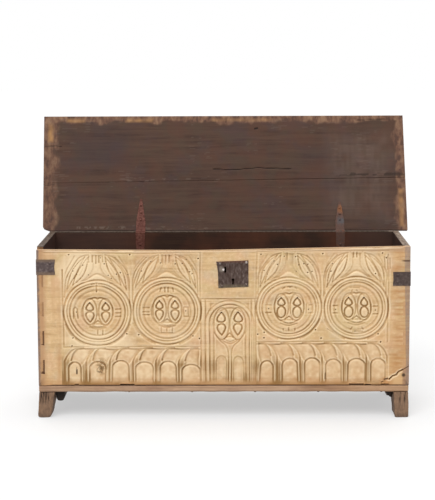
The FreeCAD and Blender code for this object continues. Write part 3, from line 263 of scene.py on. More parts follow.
# Side boards and back board
# Oak boards that the front and back are dovetailed to. Inside they keep the old dark stain, outside
# they are plainer brown, the ends of their pins are as pale as the front, and their rims are grey.
def corner_wear(tree, where, tone):
    """The front corners: a dirty left arris, a grey brown band down the right one that widens upwards, and a
    crack across the lower right.
    """
    place, x, y, z = where
    rough = add(tree, "TexNoise", {"Vector": place, "Scale": 1000 / 16.67, "Detail": 4, "Roughness": 0.7})
    ragged_x = add(tree, "Math", (rough, 0.010, x), operation="MULTIPLY_ADD")
    ragged_y = add(tree, "Math", (rough, 0.030, y), operation="MULTIPLY_ADD")
    on_face = (y, -0.345, -0.352, 0, 1)
    near_face = (ragged_y, -0.33, -0.352, 0, 1)
    right_reach = add(tree, "MapRange", (z, 0.20, 0.60, 0.7410, 0.7310))
    past_right = add(tree, "Math", (ragged_x, right_reach), operation="SUBTRACT")
    slope = add(tree, "Math", (x, -0.62, z), operation="MULTIPLY_ADD")
    off_crack, off_slit = [
        add(tree, "Math", (add(tree, "Math", line, operation="ADD"),), operation="ABSOLUTE")
        for line in ((slope, 0.251), (z, -0.643))]
    off_hole = add(tree, "VectorMath", (place, (0.728, -0.3625, 0.176)), operation="DISTANCE", output="Value")
    return coats(tree, tone, (
        ((ragged_x, -0.704, -0.724, 0, 0.75), on_face, "#B48861"),  # browner towards the left corner
        ((ragged_x, -0.7330, -0.7400, 0, 0.85), near_face, "#655A58"),  # grime on the left arris
        ((past_right, 0.0, 0.004, 0, 0.75), near_face, "#81746E"),  # a grey brown band down the right arris, wider towards the top
        ((z, 0.215, 0.195, 0, 0.6), (ragged_x, 0.726, 0.734, 0, 1), near_face, "#8A7064"),  # its kicked foot
        ((off_crack, 0.0035, 0.0012, 0, 0.9), (x, 0.7195, 0.7215, 0, 1), on_face, "#50321B"),
        ((off_slit, 0.0045, 0.0015, 0, 0.9), (x, 0.712, 0.726, 0, 1), "#4A2C16"),
        ((off_hole, 0.010, 0.0045, 0, 0.9), "#2E1B0F"),  # where a nail was torn out
    ))


for name, run, boards in (
        ("stained oak of the side boards", (1, 0.05, 1), ("left_side_board", "right_side_board")),
        ("stained oak of the back board", (0.05, 1, 1), ("back_board",))):
    carcass_oak, tree, where, tone, grain = timber(name, "#8C6A4A", "#77573C", "#503828", run=run, ring_mm=13)
    place, x, y, z = where
    stain = add(tree, "TexNoise", {"Vector": place, "Scale": 1000 / 142.9, "Detail": 4})
    inner = add(tree, "ValToRGB", (stain,), stops=((0.38, "#26120B"), (0.66, "#4B2617")))
    inner = coats(tree, inner, [(end + (0, 0.65), "#3D2C28") for end in ((x, -0.30, -0.46), (x, 0.50, 0.62))])
    back_to_front = add(tree, "Mapping", {"Vector": place, "Scale": (1, 0.2, 1)})
    streaks = add(tree, "TexNoise", {"Vector": back_to_front, "Scale": 1000 / 11.11, "Detail": 3})
    pale_rim, dark_rim, ends = [
        add(tree, "ValToRGB", (streaks,), stops=stops)
        for stops in (((0.38, "#8F8072"), (0.62, "#5C4F46")), ((0.38, "#5B5047"), (0.62, "#332A23")),
                      ((0.4, "#C9A67B"), (0.65, "#A98258")))]
    rim = coats(tree, pale_rim, (((x, 0.70, 0.71, 1, 0), dark_rim),))
    ends = coats(tree, ends, (((x, 0.0, 0.1, 0, 0.75), "#C2956A"),))
    from_middle = add(tree, "Math", (x,), operation="ABSOLUTE")
    on_ends = ((y, -0.3595, -0.3605, 0, 1), (z, 0.690, 0.688, 0.3, 1))
    tone = coats(tree, tone, (
        ((from_middle, 0.7255, 0.7250, 0, 0.92), (y, 0.114, 0.1135, 0, 1), inner),  # between the boards
        ((z, 0.6965, 0.6985, 0, 0.85), rim),
        (*on_ends, ends)))
    tone = corner_wear(tree, where, tone)
    # Dirt has gathered along the roots of the left pins and at the lower corners of two of them.
    torn = add(tree, "TexNoise", {"Vector": place, "Scale": 1000 / 9, "Detail": 4, "Roughness": 0.7})
    ragged_x = add(tree, "Math", (torn, 0.006, x), operation="MULTIPLY_ADD")
    dirt = [((ragged_x, -0.7295, -0.7265, 0, 1), (x, 0.1, 0.0, 0, 1), (z, 0.43, 0.38, 0.3, 0.85),
             *on_ends, "#4A2C18")]
    for middle in ((-0.732, -0.3625, 0.298), (-0.732, -0.3625, 0.186)):
        away = add(tree, "VectorMath", (place, middle), operation="DISTANCE", output="Value")
        away = add(tree, "Math", (torn, 0.008, away), operation="MULTIPLY_ADD")
        dirt.append(((away, 0.0135, 0.0095, 0, 0.9), "#4A2C18"))
    finish(tree, tone, dirt, grain, roughness=0.65, relief_mm=0.3, specular=0.25)
    dress(carcass_oak, *boards)


# Front board
# One wide oak plank with through dovetails at both ends, stripped of its old finish to pale tan.
# Its face is carved with gouges and a punch: two pairs of roundels over blind arcades, and between
# them an arch with a mullion under the lock. Dirt stays in the cuts and the ridges are rubbed pale.
def mottle(x, z, size, seed):
    """Soft random values from -1 to 1, one lump to about each size in mm."""
    table = np.random.default_rng(seed).uniform(-1, 1, (64, 64))
    i, j = np.floor(x / size).astype(int), np.floor(z / size).astype(int)
    a, b = x / size - i, z / size - j
    a, b = a * a * (3 - 2 * a), b * b * (3 - 2 * b)
    near = table[i % 64, j % 64] * (1 - b) + table[i % 64, (j + 1) % 64] * b
    far = table[(i + 1) % 64, j % 64] * (1 - b) + table[(i + 1) % 64, (j + 1) % 64] * b
    return near * (1 - a) + far * a


def blurred(values, reach):
    """The mean of the values round each point."""
    for axis in (0, 1):
        total = sum(np.roll(values, shift, axis) for shift in range(-reach, reach + 1))
        values = total / (2 * reach + 1)
    return values


class Face:
    """The face of a board that is cut by hand: a grid of points in mm and the depth of each."""

    def __init__(self, across, up, seed, wander, lump):
        self.x = across + wander * mottle(across, up, lump, seed)
        self.z = up + wander * mottle(across, up, lump, seed + 1)
        self.ground = np.zeros(across.shape)
        self.scored = np.zeros(across.shape)
        self.pierced = np.zeros(across.shape)
        self.bright = np.zeros(across.shape)

    def part(self, points, spare):
        """The part of the grid round some points."""
        x, z = zip(*points)
        near = (self.x > min(x) - spare) & (self.x < max(x) + spare)
        near &= (self.z > min(z) - spare) & (self.z < max(z) + spare)
        rows, columns = np.flatnonzero(near.any(axis=1)), np.flatnonzero(near.any(axis=0))
        if not len(rows):
            return slice(0, 0), slice(0, 0)
        return slice(rows[0], rows[-1] + 1), slice(columns[0], columns[-1] + 1)

    def distance(self, points, area, closed):
        """How far each point of an area is from a line through points."""
        x, z = self.x[area], self.z[area]
        nearest = np.full(x.shape, np.inf)
        for (x0, z0), (x1, z1) in zip(points, points[1:] + points[:1 if closed else 0]):
            run = (x1 - x0) ** 2 + (z1 - z0) ** 2
            share = ((x - x0) * (x1 - x0) + (z - z0) * (z1 - z0)) / max(run, 1e-9)
            share = share.clip(0, 1)
            nearest = np.minimum(nearest, np.hypot(x - x0 - share * (x1 - x0), z - z0 - share * (z1 - z0)))
        return nearest

    def within(self, points, area):
        """Which points of an area lie inside an outline."""
        x, z = self.x[area], self.z[area]
        inside = np.zeros(x.shape, bool)
        for (x0, z0), (x1, z1) in zip(points, points[1:] + points[:1]):
            if z0 != z1:
                inside ^= ((z0 > z) != (z1 > z)) & (x < (x1 - x0) * (z - z0) / (z1 - z0) + x0)
        return inside

    def score(self, points, width, depth, closed=False):
        """Cuts a round groove along a line."""
        area = self.part(points, width)
        away = (self.distance(points, area, closed) / (width / 2)).clip(0, 1)
        self.scored[area] = np.maximum(self.scored[area], depth * (1 - away * away) ** 1.5)

    def pierce(self, points, width, depth):
        """Opens a crack with sharp lips along a line."""
        area = self.part(points, width)
        share = (1 - self.distance(points, area, False) / (width / 2)).clip(0, 1)
        self.pierced[area] = np.maximum(self.pierced[area], depth * share ** 0.6)

    def level(self, points, depth, wall, bright=0.0):
        """Takes the area inside an outline to a depth, with walls that slope over a width."""
        area = self.part(points, wall)
        share = (self.distance(points, area, True) / wall).clip(0, 1) * self.within(points, area)
        share = share * share * (3 - 2 * share)
        self.ground[area] += (depth - self.ground[area]) * share
        self.bright[area] += (bright - self.bright[area]) * share

    def pebble(self, points, edge, top, reach, margin=3.0, bright=0.8):
        """Leaves a rounded swelling inside an outline, with a cut round it."""
        area = self.part(points, 3)
        inside = self.within(points, area)
        share = ((self.distance(points, area, True) - margin) / reach).clip(0, 1)
        dome = edge - (edge - top) * np.sqrt(1 - (1 - share) ** 2)
        self.ground[area] = np.where(inside, dome, self.ground[area])
        self.bright[area] = np.where(inside, bright * share, self.bright[area])

    def punch(self, spot, radius, depth):
        """Drills a small blind hole."""
        area = self.part([spot], radius * 2)
        away = np.hypot(self.x[area] - spot[0], self.z[area] - spot[1])
        self.pierced[area] = np.maximum(self.pierced[area], depth * (1.25 - away / radius).clip(0, 1))

    def depth(self):
        """How deep each point lies."""
        return np.maximum(blurred(self.ground + self.scored, 1), self.pierced).clip(0, None)


def arc(x, z, across, upright, start, end, steps=28):
    """Points along part of an oval, with angles in degrees from the right."""
    turn = np.radians(np.linspace(start, end, steps))
    return list(zip(x + across * np.cos(turn), z + upright * np.sin(turn)))


def curve(*points, steps=6):
    """Points along a smooth line through a few points."""
    held = np.array([points[0], *points, points[-1]], float)
    t = np.linspace(0, 1, steps, endpoint=False)[:, None]
    line = []
    for a, b, c, d in zip(held, held[1:], held[2:], held[3:]):
        bend = (2 * a - 5 * b + 4 * c - d) * t + (3 * b - a - 3 * c + d) * t * t
        line += [tuple(p) for p in b + 0.5 * t * ((c - a) + bend)]
    return line + [tuple(held[-1])]


def near(x, z, *points, side=1):
    """Points given from a middle, on its right side or mirrored to its left."""
    return [(x + side * dx, z + dz) for dx, dz in points]


def drop(x, round_end, tip, half, steps=26):
    """The outline of a tracery lobe: pointed at its tip and round at the other end."""
    turn = np.linspace(0, 2 * math.pi, steps, endpoint=False)
    swell = 1.3 * half * np.sin(turn) * np.sin(turn / 2)
    return list(zip(x + swell, (round_end + tip) / 2 + (tip - round_end) / 2 * np.cos(turn)))


board_low, board_high = (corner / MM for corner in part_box("front_board"))
plate_low, plate_high = (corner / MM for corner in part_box("lock_plate"))
side_board_thickness = nodes["left_side_board"].dimensions.x / MM
CARVED_LEFT = board_low.x + side_board_thickness
CARVED_RIGHT = board_high.x - side_board_thickness
LEFT_STILE = -93
RIGHT_STILE = 133
CELL = 1.95
slab_edges = (CARVED_LEFT, LEFT_STILE, RIGHT_STILE, CARVED_RIGHT)
slab_cells = [round((right - left) / CELL) for left, right in zip(slab_edges, slab_edges[1:])]
columns = np.concatenate([
    np.linspace(left, right, cells + 1)[0 if left == CARVED_LEFT else 1:]
    for left, right, cells in zip(slab_edges, slab_edges[1:], slab_cells)])
rows = np.linspace(board_low.z, board_high.z, round((board_high.z - board_low.z) / CELL) + 1)
# The rim is worn hollow by the lid, so the topmost rows are pressed down to it.
WORN_RIM = ((-750, 689), (-420, 685), (-100, 684), (300, 689), (750, 700))
UNWORN = 655
across, up = np.meshgrid(columns, rows)
worn_to = np.interp(across, *zip(*WORN_RIM))
up = np.where(up > UNWORN, UNWORN + (up - UNWORN) * (worn_to - UNWORN) / (board_high.z - UNWORN), up)
front = Face(across, up, seed=11, wander=2.0, lump=75)

# The roundels: a turned moulding of ridges round a flat ring, and an eye of two pairs of lobes.
MOULDING = (
    (0, 2.8), (60, 2.8), (65, 5.6), (69.5, 2.6), (90, 2.2), (96, 4.4), (102, 2.0), (108, 1.8), (114.5, 6.0),
    (119, 0.8), (121, 0.8), (124, 4.8), (127.5, 0.4), (132, 0.0), (134, 0.9), (138, 5.4), (143, 1.8))
OUTER_RIM = 138
LEFT_TOP = 676
RIGHT_TOP = 683
ROUNDELS = (
    (-508, 433, 135, 134, -646, -372, LEFT_TOP), (-227, 440, 137, 137, -372, -92, LEFT_TOP - 1),
    (265, 451, 130, 126, 133, 398, RIGHT_TOP - 2), (535, 451, 129, 128, 398, 662, RIGHT_TOP))


def eye(face, x, z, pointed):
    """Two egg-shaped lights side by side, each with an upper and a lower lobe, over a small lens."""
    for middle in (x - 32, x + 32):
        face.score(arc(middle + (1 if middle < x else -1), z + 5, 28, 54, 0, 360, 36), 7.5, 3.2, closed=True)
        face.pebble(drop(middle, z + 6, z + 44, 17), 9.5, 2.2, 9, 4.0)
        lower = drop(middle, z + 7, z - 44, 19) if pointed else arc(middle, z - 17, 20, 25, 0, 345, 24)
        face.pebble(lower, 8.5, 1.8, 10, 4.0)
        face.punch((middle, z + 41), 4.2, 9)
    face.pebble(curve(*near(x, z, (-26, -52), (0, -45), (26, -52), (0, -61), (-26, -52))), 6.0, 1.0, 5, 1.0)
    face.score(near(x, z, (-17, -46), (0, -33), (17, -46)), 7, 4.5)
    face.score(curve(*near(x, z, (-34, -60), (0, -69), (34, -60))), 6, 3)
    face.score(curve(*near(x, z, (-34, 58), (-12, 63), (0, 57), (12, 63), (34, 58))), 6.5, 3.6)


def leaf(face, outer, inner, depth, rise):
    """A long leaf between two edges, with a vein cut down its middle."""
    outline = curve(*outer) + curve(*reversed(inner))
    face.pebble(outline, depth, rise, 8, 0.5, 0.8)
    face.score(outline, 6, 2.0, closed=True)
    middle = [((a[0] + b[0]) / 2, (a[1] + b[1]) / 2) for a, b in zip(outer, inner)]
    face.score(curve(*middle[:-1]), 5, 1.6)


def spandrels(face, x, z, left, right, rim, top):
    """The stem and the leaves that fall from it over a roundel, and the arc that closes the bay."""
    crown = z + rim
    bay = [(left + 6, crown - 60), (left + 6, top - 3), (right - 6, top - 3), (right - 6, crown - 60)]
    face.level(bay, 1.6, 15)
    stem = [(x - 25, top - 2), (x - 24, crown + 52)]
    stem += curve(*near(x, crown, (-30, 38), (-48, 18), (-84, -12)))
    stem += [(2 * x - px, pz) for px, pz in reversed(stem)]
    face.level(stem, 4.8, 10)
    face.score(stem, 6, 1.3)
    face.pebble(curve(*near(x, crown, (-44, -3), (0, 24), (44, -3), (0, 1), (-44, -3))), 4.5, 0.6, 8, 0.5)
    for side, edge, start, end in ((-1, left, 200, 250), (1, right, 290, 340)):
        near_edge = edge - side * 10
        long_line = near(x, top, (34, -7), (72, -20), side=side)
        long_line += near(x, crown, (104, 44), (122, 10), side=side)
        long_line += near(near_edge, crown, (0, -30), (2, -70), side=side)
        face.score(curve(*long_line), 10, 2.6)
        short_line = [(x + side * 90, top - 12)] + near(near_edge, crown, (-6, 40), (4, -6), side=side)
        face.score(curve(*short_line), 8, 1.5)
        # Two leaves: the root of each, its tip, its outer and its inner edge on the way, and its swell.
        for root, tip, outer, inner, swell in (
                ((34, -14), (x + side * 98, crown - 24), ((60, 62), (84, 22)), ((42, 50), (58, 16)), 0.6),
                ((46, -12), (near_edge - side * 6, crown - 44),
                 ((80, 66), (106, 26)), ((70, 54), (92, 10)), 0.8)):
            leaf(face, *([*near(x, top, root, side=side), *near(x, crown, *middle, side=side), tip]
                         for middle in (outer, inner)), 4.4, swell)
        face.score(arc(x, z, rim + 7, rim + 7, start, end, 12), 8, 3)


for x, z, rim_x, rim_z, left, right, top in ROUNDELS:
    spandrels(front, x, z, left, right, rim_z, top)
for x, z, rim_x, rim_z, left, right, top in ROUNDELS:
    away = np.hypot((front.x - x) / rim_x, (front.z - z) / rim_z) * OUTER_RIM
    turned = np.interp(away, *zip(*MOULDING))
    front.ground = np.where(away < MOULDING[-1][0], turned, front.ground)
    front.scored = np.where(away < OUTER_RIM - 2, 0, front.scored)
    front.bright = np.where(away < OUTER_RIM, 0, front.bright)
    eye(front, x + (1 if x < 0 else 0), z, pointed=x < 0)
for x, foot, top in ((-646, 296, 610), (662, 315, 668)):
    front.score([(x, foot), (x, top)], 8, 2.8)
# Between the bays of each pair two lines rise together and part to left and right, like a Y.
for x, foot, fork, top in ((-372, 470, 566, 655), (397, 500, 575, 662)):
    for side in (-1, 1):
        front.score([*near(x, 0, (6, foot), (6, fork - 8), side=side), *curve(*near(
            x, 0, (7, fork), (16, fork + 34), (34, fork + 62), (62, top + 4), side=side))], 7, 3.4)

# Small cuts in the flat rings, each roundel with its own: bars, boxes and dots.
BARS = (
    ((-605, 408), (-604, 448), (-596, 456), (-588, 448), (-587, 410)), ((-437, 448), (-415, 448)),
    ((-437, 433), (-415, 433)), ((-437, 418), (-415, 418)), ((-508, 345), (-508, 362)),
    ((-487, 345), (-487, 362)), ((-510, 521), (-510, 560)), ((-530, 551), (-518, 551)),
    ((-503, 551), (-488, 551)), ((-325, 455), (-300, 455)), ((-325, 437), (-300, 437)),
    ((-325, 425), (-300, 425)), ((-255, 520), (-250, 535)), ((-235, 518), (-235, 536)),
    ((-222, 518), (-222, 536)), ((-200, 520), (-204, 535)),
    ((-158, 418), (-158, 455), (-140, 455), (-140, 418), (-158, 418)),
    ((-250, 372), (-250, 350), (-205, 350), (-205, 372)), ((-228, 356), (-228, 368)),
    ((172, 463), (192, 463)), ((172, 433), (192, 433)), ((333, 430), (333, 465)), ((360, 430), (360, 465)),
    ((345, 463), (358, 463)), ((343, 430), (356, 430)), ((248, 536), (240, 530)), ((260, 538), (276, 538)),
    ((288, 536), (294, 530)), ((265, 357), (265, 372)), ((243, 368), (243, 358), (290, 358), (290, 368)),
    ((440, 460), (458, 460)), ((440, 430), (458, 430)), ((603, 460), (622, 460)), ((603, 428), (622, 428)),
    ((510, 533), (548, 533)), ((516, 518), (520, 524)), ((540, 518), (536, 524)), ((520, 355), (560, 355)),
    ((512, 364), (518, 372)), ((562, 364), (556, 372)))
for bar in BARS:
    front.score(bar, 6.4, 3.4)
DOTS = (
    (-592, 436), (-150, 440), (183, 448), (450, 444), (343, 445), (612, 444), (-510, 521), (268, 536),
    (530, 356),
    (-493, 657), (-252, 636), (-621, 669), (-375, 672), (150, 671), (398, 672), (640, 675), (655, 655),
    (-565, 628), (-605, 605), (-590, 592), (-600, 575), (-542, 588), (-478, 632), (-463, 585), (-450, 573),
    (-430, 590), (-415, 597), (-385, 590), (-328, 603), (-290, 642), (-193, 632), (-165, 633), (-148, 648),
    (-137, 600), (-125, 592), (-100, 653), (245, 661), (292, 661), (203, 642), (217, 628), (165, 603),
    (178, 588), (305, 628), (295, 602), (325, 633), (340, 630), (357, 600), (340, 597), (433, 600),
    (440, 630), (612, 590),
    (-608, 330), (-612, 297), (-390, 347), (-342, 343), (-123, 338), (-96, 328), (138, 345), (163, 330),
    (165, 353), (373, 362), (395, 327), (623, 345), (635, 313))
for dot in DOTS:
    front.punch(dot, 3.3, 6.5)
FLUTES = ((-540, 638, 666), (-527, 640, 666), (-512, 634, 666), (-500, 638, 664), (-484, 640, 666),
          (-260, 640, 668), (-246, 636, 668), (-232, 632, 668), (-218, 638, 668), (256, 645, 676),
          (524, 658, 679), (537, 658, 679), (648, 612, 660), (658, 605, 660), (668, 610, 655))
for x, foot, top in FLUTES:
    front.score([(x, foot), (x, top)], 5.5, 3.6)

# The blind arcades: round niches under ribs that lean over, to the right on the left and back again.
ARCADES = (
    (1, 292, ((-625, -578, 230), (-540, -480, 231), (-450, -385, 233), (-355, -287, 227), (-255, -192, 232),
              (-165, -95, 220)), (-642, -555, -462, -366, -275, -180, -88)),
    (-1, 312, ((598, 655, 243), (505, 572, 242), (415, 475, 240), (330, 388, 245), (240, 298, 243),
               (150, 200, 235)), (662, 578, 485, 398, 310, 218, 128)))
ARCADE_FOOT = 140


def rib(foot, lean, top):
    """The line of one leaning rib, from its foot to where it dies into the top rail."""
    bent = curve(*near(foot, top, (0, -58), (13, -32), (36, -10), (68, -2), side=lean))
    return [(foot, ARCADE_FOOT), (foot, top - 70), *bent]


for lean, top, niches, feet in ARCADES:
    front.score([(niches[0][0] - 22 * lean, top + 1), (feet[-1] - 4 * lean, top + 1)], 7, 3.4)
    front.score([(niches[0][0] + 22 * lean, top - 8), (feet[-1] - 4 * lean, top - 8)], 7.5, 4.2)
    for (left, right, crown), foot, following in zip(niches, feet, feet[1:]):
        edge = curve(*near(foot, top, (27, -54), (36, -27), (54, -8), (78, -4), side=lean))
        beyond = min(following * lean, (LEFT_STILE - 3) if lean > 0 else -(RIGHT_STILE + 5)) * lean
        spare = abs(feet[-1] - following) + 2
        back = near(beyond, top, (min(34, spare), -9), side=lean)
        back += curve(*near(beyond, top, (min(14, spare), -30), (-1, -54), side=lean))
        middle = (left + right) / 2
        half = (right - left) / 2
        # The sail runs on behind the head of the niche, so that no ridge is left between the two.
        brow = arc(middle, crown - 27, half, 20, 20 if lean > 0 else 160, 160 if lean > 0 else 20, 14)
        front.level(edge + back + brow, 5.0, 5, 1.0)
        front.score(edge, 8.5, 5.4)
        niche, wall = [
            [(left - swell, ARCADE_FOOT), *arc(middle, crown - fall, half + swell, rise, 180, 0, 18),
             (right + swell, ARCADE_FOOT)] for swell, fall, rise in ((5, 26, 29), (2, 27, 27))]
        front.level(niche, 6.0, 5, 1.0)
        front.score(wall, 7, 3.0)
        front.score(wall[3:-3], 8, 4.4)
    for foot in feet[:-1]:
        front.score(rib(foot, lean, top), 8, 3.8)

# The middle: a plain field for the lock over a round arch, its tracery and the mullion that parts it.
ARCH_X = 25.5
ARCH_SPRING = 396
ARCH_CROWN = 476
MIDDLE_TOP = 489


def arch(face, half, fall, width, depth):
    """One line of the arch's moulding: how far from its middle, and how far its crown is under the roll's."""
    crown = arc(ARCH_X, ARCH_SPRING, half, ARCH_CROWN - ARCH_SPRING - fall, 180, 0, 30)
    line = [(ARCH_X - half, ARCADE_FOOT), *crown, (ARCH_X + half, ARCADE_FOOT)]
    face.score(line, width, depth)
    return line


for x in (LEFT_STILE + 3, RIGHT_STILE - 3, LEFT_STILE + 21, RIGHT_STILE - 19):
    front.score([(x, ARCADE_FOOT), (x, MIDDLE_TOP)], 7.5, 3.4)
for x in (LEFT_STILE + 1, RIGHT_STILE + 1):
    front.score([(x, MIDDLE_TOP), (x, LEFT_TOP)], 7.5, 2.4)
front.score([(LEFT_STILE, MIDDLE_TOP), (RIGHT_STILE, MIDDLE_TOP)], 7, 3.6)
front.score([(LEFT_STILE, MIDDLE_TOP - 9), (RIGHT_STILE, MIDDLE_TOP - 9)], 5.5, 1.3)
for side in (-1, 1):
    corner = near(ARCH_X, ARCH_SPRING, (84, 81), (84, 34), side=side)
    corner += curve(*near(ARCH_X, ARCH_SPRING, (84, 38), (68, 64), (40, 80), side=side))
    front.level(corner, 3, 8)
arch(front, 97, -7, 7, 3)
front.level(arch(front, 80, 9, 9, 5), 2.8, 8)
arch(front, 64, 24, 7, 2.6)
for side in (-1, 1):
    outward = (180, 0) if side > 0 else (0, 180)
    front.score(arc(ARCH_X + side * 32, 387, 31, 66, 0, 360, 36), 7.5, 3.4, closed=True)
    front.pebble(drop(ARCH_X + side * 34, 389, 437, 19), 10.0, 2.4, 9, 4.0)
    front.pebble(drop(ARCH_X + side * 32, 388, 336, 19), 9.0, 2.0, 10, 4.0)
    front.punch((ARCH_X + side * 34, 433), 4.2, 9)
    stalk = curve(*near(ARCH_X, 0, (62, 352), (40, 318), (18, 298), (7, 272), (6, 235), side=side))
    field = [(ARCH_X + side * 60, 345), *stalk[3:], (ARCH_X + side * 9, 262),
             *arc(ARCH_X + side * 35, 236, 24, 24, *outward, 12), (ARCH_X + side * 60, 262)]
    front.level(field, 4.8, 9, 0.9)
    front.score(stalk + [(ARCH_X + side * 6, ARCADE_FOOT)], 7.5, 4.4)
    niche = [(ARCH_X + side * 14, ARCADE_FOOT), *arc(ARCH_X + side * 35, 228, 21, 26, *outward, 16),
             (ARCH_X + side * 56, ARCADE_FOOT)]
    front.level(niche, 5.4, 8, 0.9)
    front.score(niche, 6.5, 2.4)
lens = near(ARCH_X, 325, (-26, 0), (0, 10), (26, 0), (0, -12), (-26, 0))
front.pebble(curve(*lens), 6.5, 1.0, 5, 1.0)
front.score(near(ARCH_X, 331, (-16, 0), (0, 17), (16, 0)), 7, 4.5)
front.score(curve(*near(ARCH_X, 317, (-30, 0), (0, -12), (30, 0))), 6, 3.2)

# All uprights run out just above the lower edge.
run_out = ((front.z - 142) / 15).clip(0, 1)
front.ground *= run_out
front.scored *= run_out
front.bright *= run_out

# The frame lines and the damage of four centuries: splits, worm, a broken corner.
front.score([(-722, 677), (LEFT_STILE, 676)], 6, 1.9)
front.score([(RIGHT_STILE, 683), (664, 686)], 6, 1.9)
# Each cut: its line, how wide it gapes and how deep it goes.
DAMAGE = (
    ([(-594, 208), (-593, 196)], 5, 6), ([(-593, 198), (-593, 182)], 9, 9), ([(412, 184), (411, 160)], 6, 7),
    ([(-416, 135), (-366, 135)], 11, 8), ([(-600, 138), (-588, 138)], 7, 6), ([(575, 136), (594, 135)], 9, 7),
    ([(420, 366), (450, 345)], 4, 3.0), ([(724, 198), (708, 189), (700, 177), (686, 172), (672, 158)], 8, 6),
    ([(664, 160), (652, 157)], 12, 6.5), ([(648, 150), (640, 146)], 7, 5.5), ([(512, 139), (566, 138)], 8, 7),
    ([(640, 137), (668, 137)], 7, 6), ([(672, 158), (655, 160), (640, 152), (600, 149)], 4, 4.0),
    ([(560, 147), (520, 145)], 3, 3))
for line, width, depth in DAMAGE:
    front.pierce(line, width, depth)
worm = np.random.default_rng(5)
for _ in range(24):
    x, z = worm.normal((-497, 208), (9, 14))
    front.pierce([(x, z), (x + worm.uniform(-9, 9), z + worm.uniform(-9, 9))], 5.0, 5.6)

# The plane leaves waves and the gouges leave marks. No cut goes through the carved slabs.
SLAB = 10
CUT_SHARE = 1.06
DEEPEST_CUT = SLAB - 0.3
face_waves = 0.2 * (1 + mottle(across, up * 3, 160, 3))
tool_marks = 0.25 * mottle(across, up, 8, 9).clip(0, None) * (front.ground > 0.5)
fade_out = ((CARVED_RIGHT - abs(across)) / 15).clip(0, 1)
cut = np.minimum(CUT_SHARE * front.depth(), DEEPEST_CUT) + (face_waves + tool_marks) * fade_out
EDGE_ROUND = 3.5
from_edge = np.minimum(worn_to - up, up - board_low.z)
rounding = EDGE_ROUND - np.sqrt(np.maximum(EDGE_ROUND ** 2 - (EDGE_ROUND - from_edge).clip(0, None) ** 2, 0))
cut = np.maximum(cut, rounding * fade_out)

front_oak, tree, where, tone, grain = timber(
    "stripped and carved oak", "#DFBC8E", "#D4B283", "#B69061", run=(0.06, 1, 1), ring_mm=16, fibre_mm=3.0)
place, x, y, z = where
# Clouds of old finish, olive yellow, pink, grey and orange, and flecks of dark and pale wood: the spacing
# of each in mm, how much it covers and its colour.
CLOUDS = ((140, 0.45, "#C9B27F"), (90, 0.4, "#DDB190"), (62, 0.3, "#C2B39D"), (115, 0.3, "#D3A06C"))
FLECKS = ((26, 0.30, "#C39A6C"), (12, 0.25, "#F2DCB6"), (17, 0.25, "#B98F66"))
for blots, detail, roughness, start, end in ((CLOUDS, 3, 0.5, 0.52, 0.66), (FLECKS, 4, 0.6, 0.50, 0.68)):
    for spacing_mm, share, colour in blots:
        blot = add(tree, "TexNoise", {
            "Vector": place, "Scale": 1000 / spacing_mm, "Detail": detail, "Roughness": roughness})
        tone = coats(tree, tone, (((blot, start, end, 0, share), colour),))
left_streaks, right_streaks = [
    add(tree, "TexNoise", {
        "Vector": add(tree, "Mapping", {"Vector": place, "Scale": run}), "Scale": 1000 / spacing_mm,
        "Detail": detail})
    for run, spacing_mm, detail in (((1, 1, 0.06), 14.29, 3), ((0.12, 1, 1), 12.5, 4))]
stain = add(tree, "TexNoise", {"Vector": place, "Scale": 1000 / 142.9, "Detail": 4})
old_stain = add(tree, "ValToRGB", (stain,), stops=((0.38, "#2C1810"), (0.66, "#4B2E1E")))
inner_face = board_high.y * MM
greyed, bright, orange, rubbed, dirt, deep_dirt_and_shade = [
    add(tree, "Attribute", output="Fac", attribute_name=name)
    for name in ("greyed", "bright", "orange", "rubbed", "dirt", "deep_dirt_and_shade")]
tone = coats(tree, tone, (
    ((left_streaks, 0.45, 0.65, 0, 0.45), (x, -0.638, -0.652, 0, 1), "#C99E70"),  # upright, at the left
    ((right_streaks, 0.40, 0.62, 0.12, 0.8), (x, 0.664, 0.70, 0, 1), "#B5824F"),  # level, at the right
    ((z, 0.17, 0.140, 0, 0.6), "#BC8A5A"),  # browner along the foot
    ((z, 0.676, 0.684, 0, 0.6), "#B99879"),  # rubbed by the lid along the rim
    (greyed, "#DDBA8A"), (bright, "#E3C59C"),
    ((x, 0.11, 0.18, 0, 1), (z, 0.34, 0.30, 0, 0.17), "#B9834A"),  # the right arcade is warmer
    # The dirt colour also carries the painted shade on the arcade ribs.
    (orange, "#B9804C"), (rubbed, "#F3DCB6"), (dirt, "#86602C"),
    ((z, 0.1395, 0.1365, 0, 0.75), (x, -0.705, -0.69, 0, 1), "#5C3B20"),  # dirt on the lower arris
    (deep_dirt_and_shade, "#3C2511"),
    ((y, inner_face - 0.0006, inner_face - 0.0002, 0, 0.92), old_stain),  # inside it was never stripped
))
finish(tree, corner_wear(tree, where, tone), (), grain, roughness=0.62, relief_mm=0.25, specular=0.3)


def grid(name, cells_across, cells_up, material):
    """A flat sheet of square cells, one unit wide, ready to be stretched and cut."""
    bpy.ops.object.select_all(action="DESELECT")
    bpy.ops.mesh.primitive_grid_add(x_subdivisions=cells_across, y_subdivisions=cells_up, size=1)
    sheet = bpy.context.object
    sheet.name = name
    sheet.data.materials.append(material)
    return sheet


def cell_numbers(sheet, cells_across, cells_up):
    """The column and row of each of a sheet's points."""
    points = points_of(sheet) * MM
    column = np.rint((points[:, 0] + 0.5) * cells_across).astype(int)
    return column, np.rint((points[:, 1] + 0.5) * cells_up).astype(int)


def spot(x, z, half_x, half_z):
    """One in the middle of an oval patch of the front, fading to none at its edge."""
    return (1 - np.hypot((across - x) / half_x, (up - z) / half_z)).clip(0, 1) ** 0.5
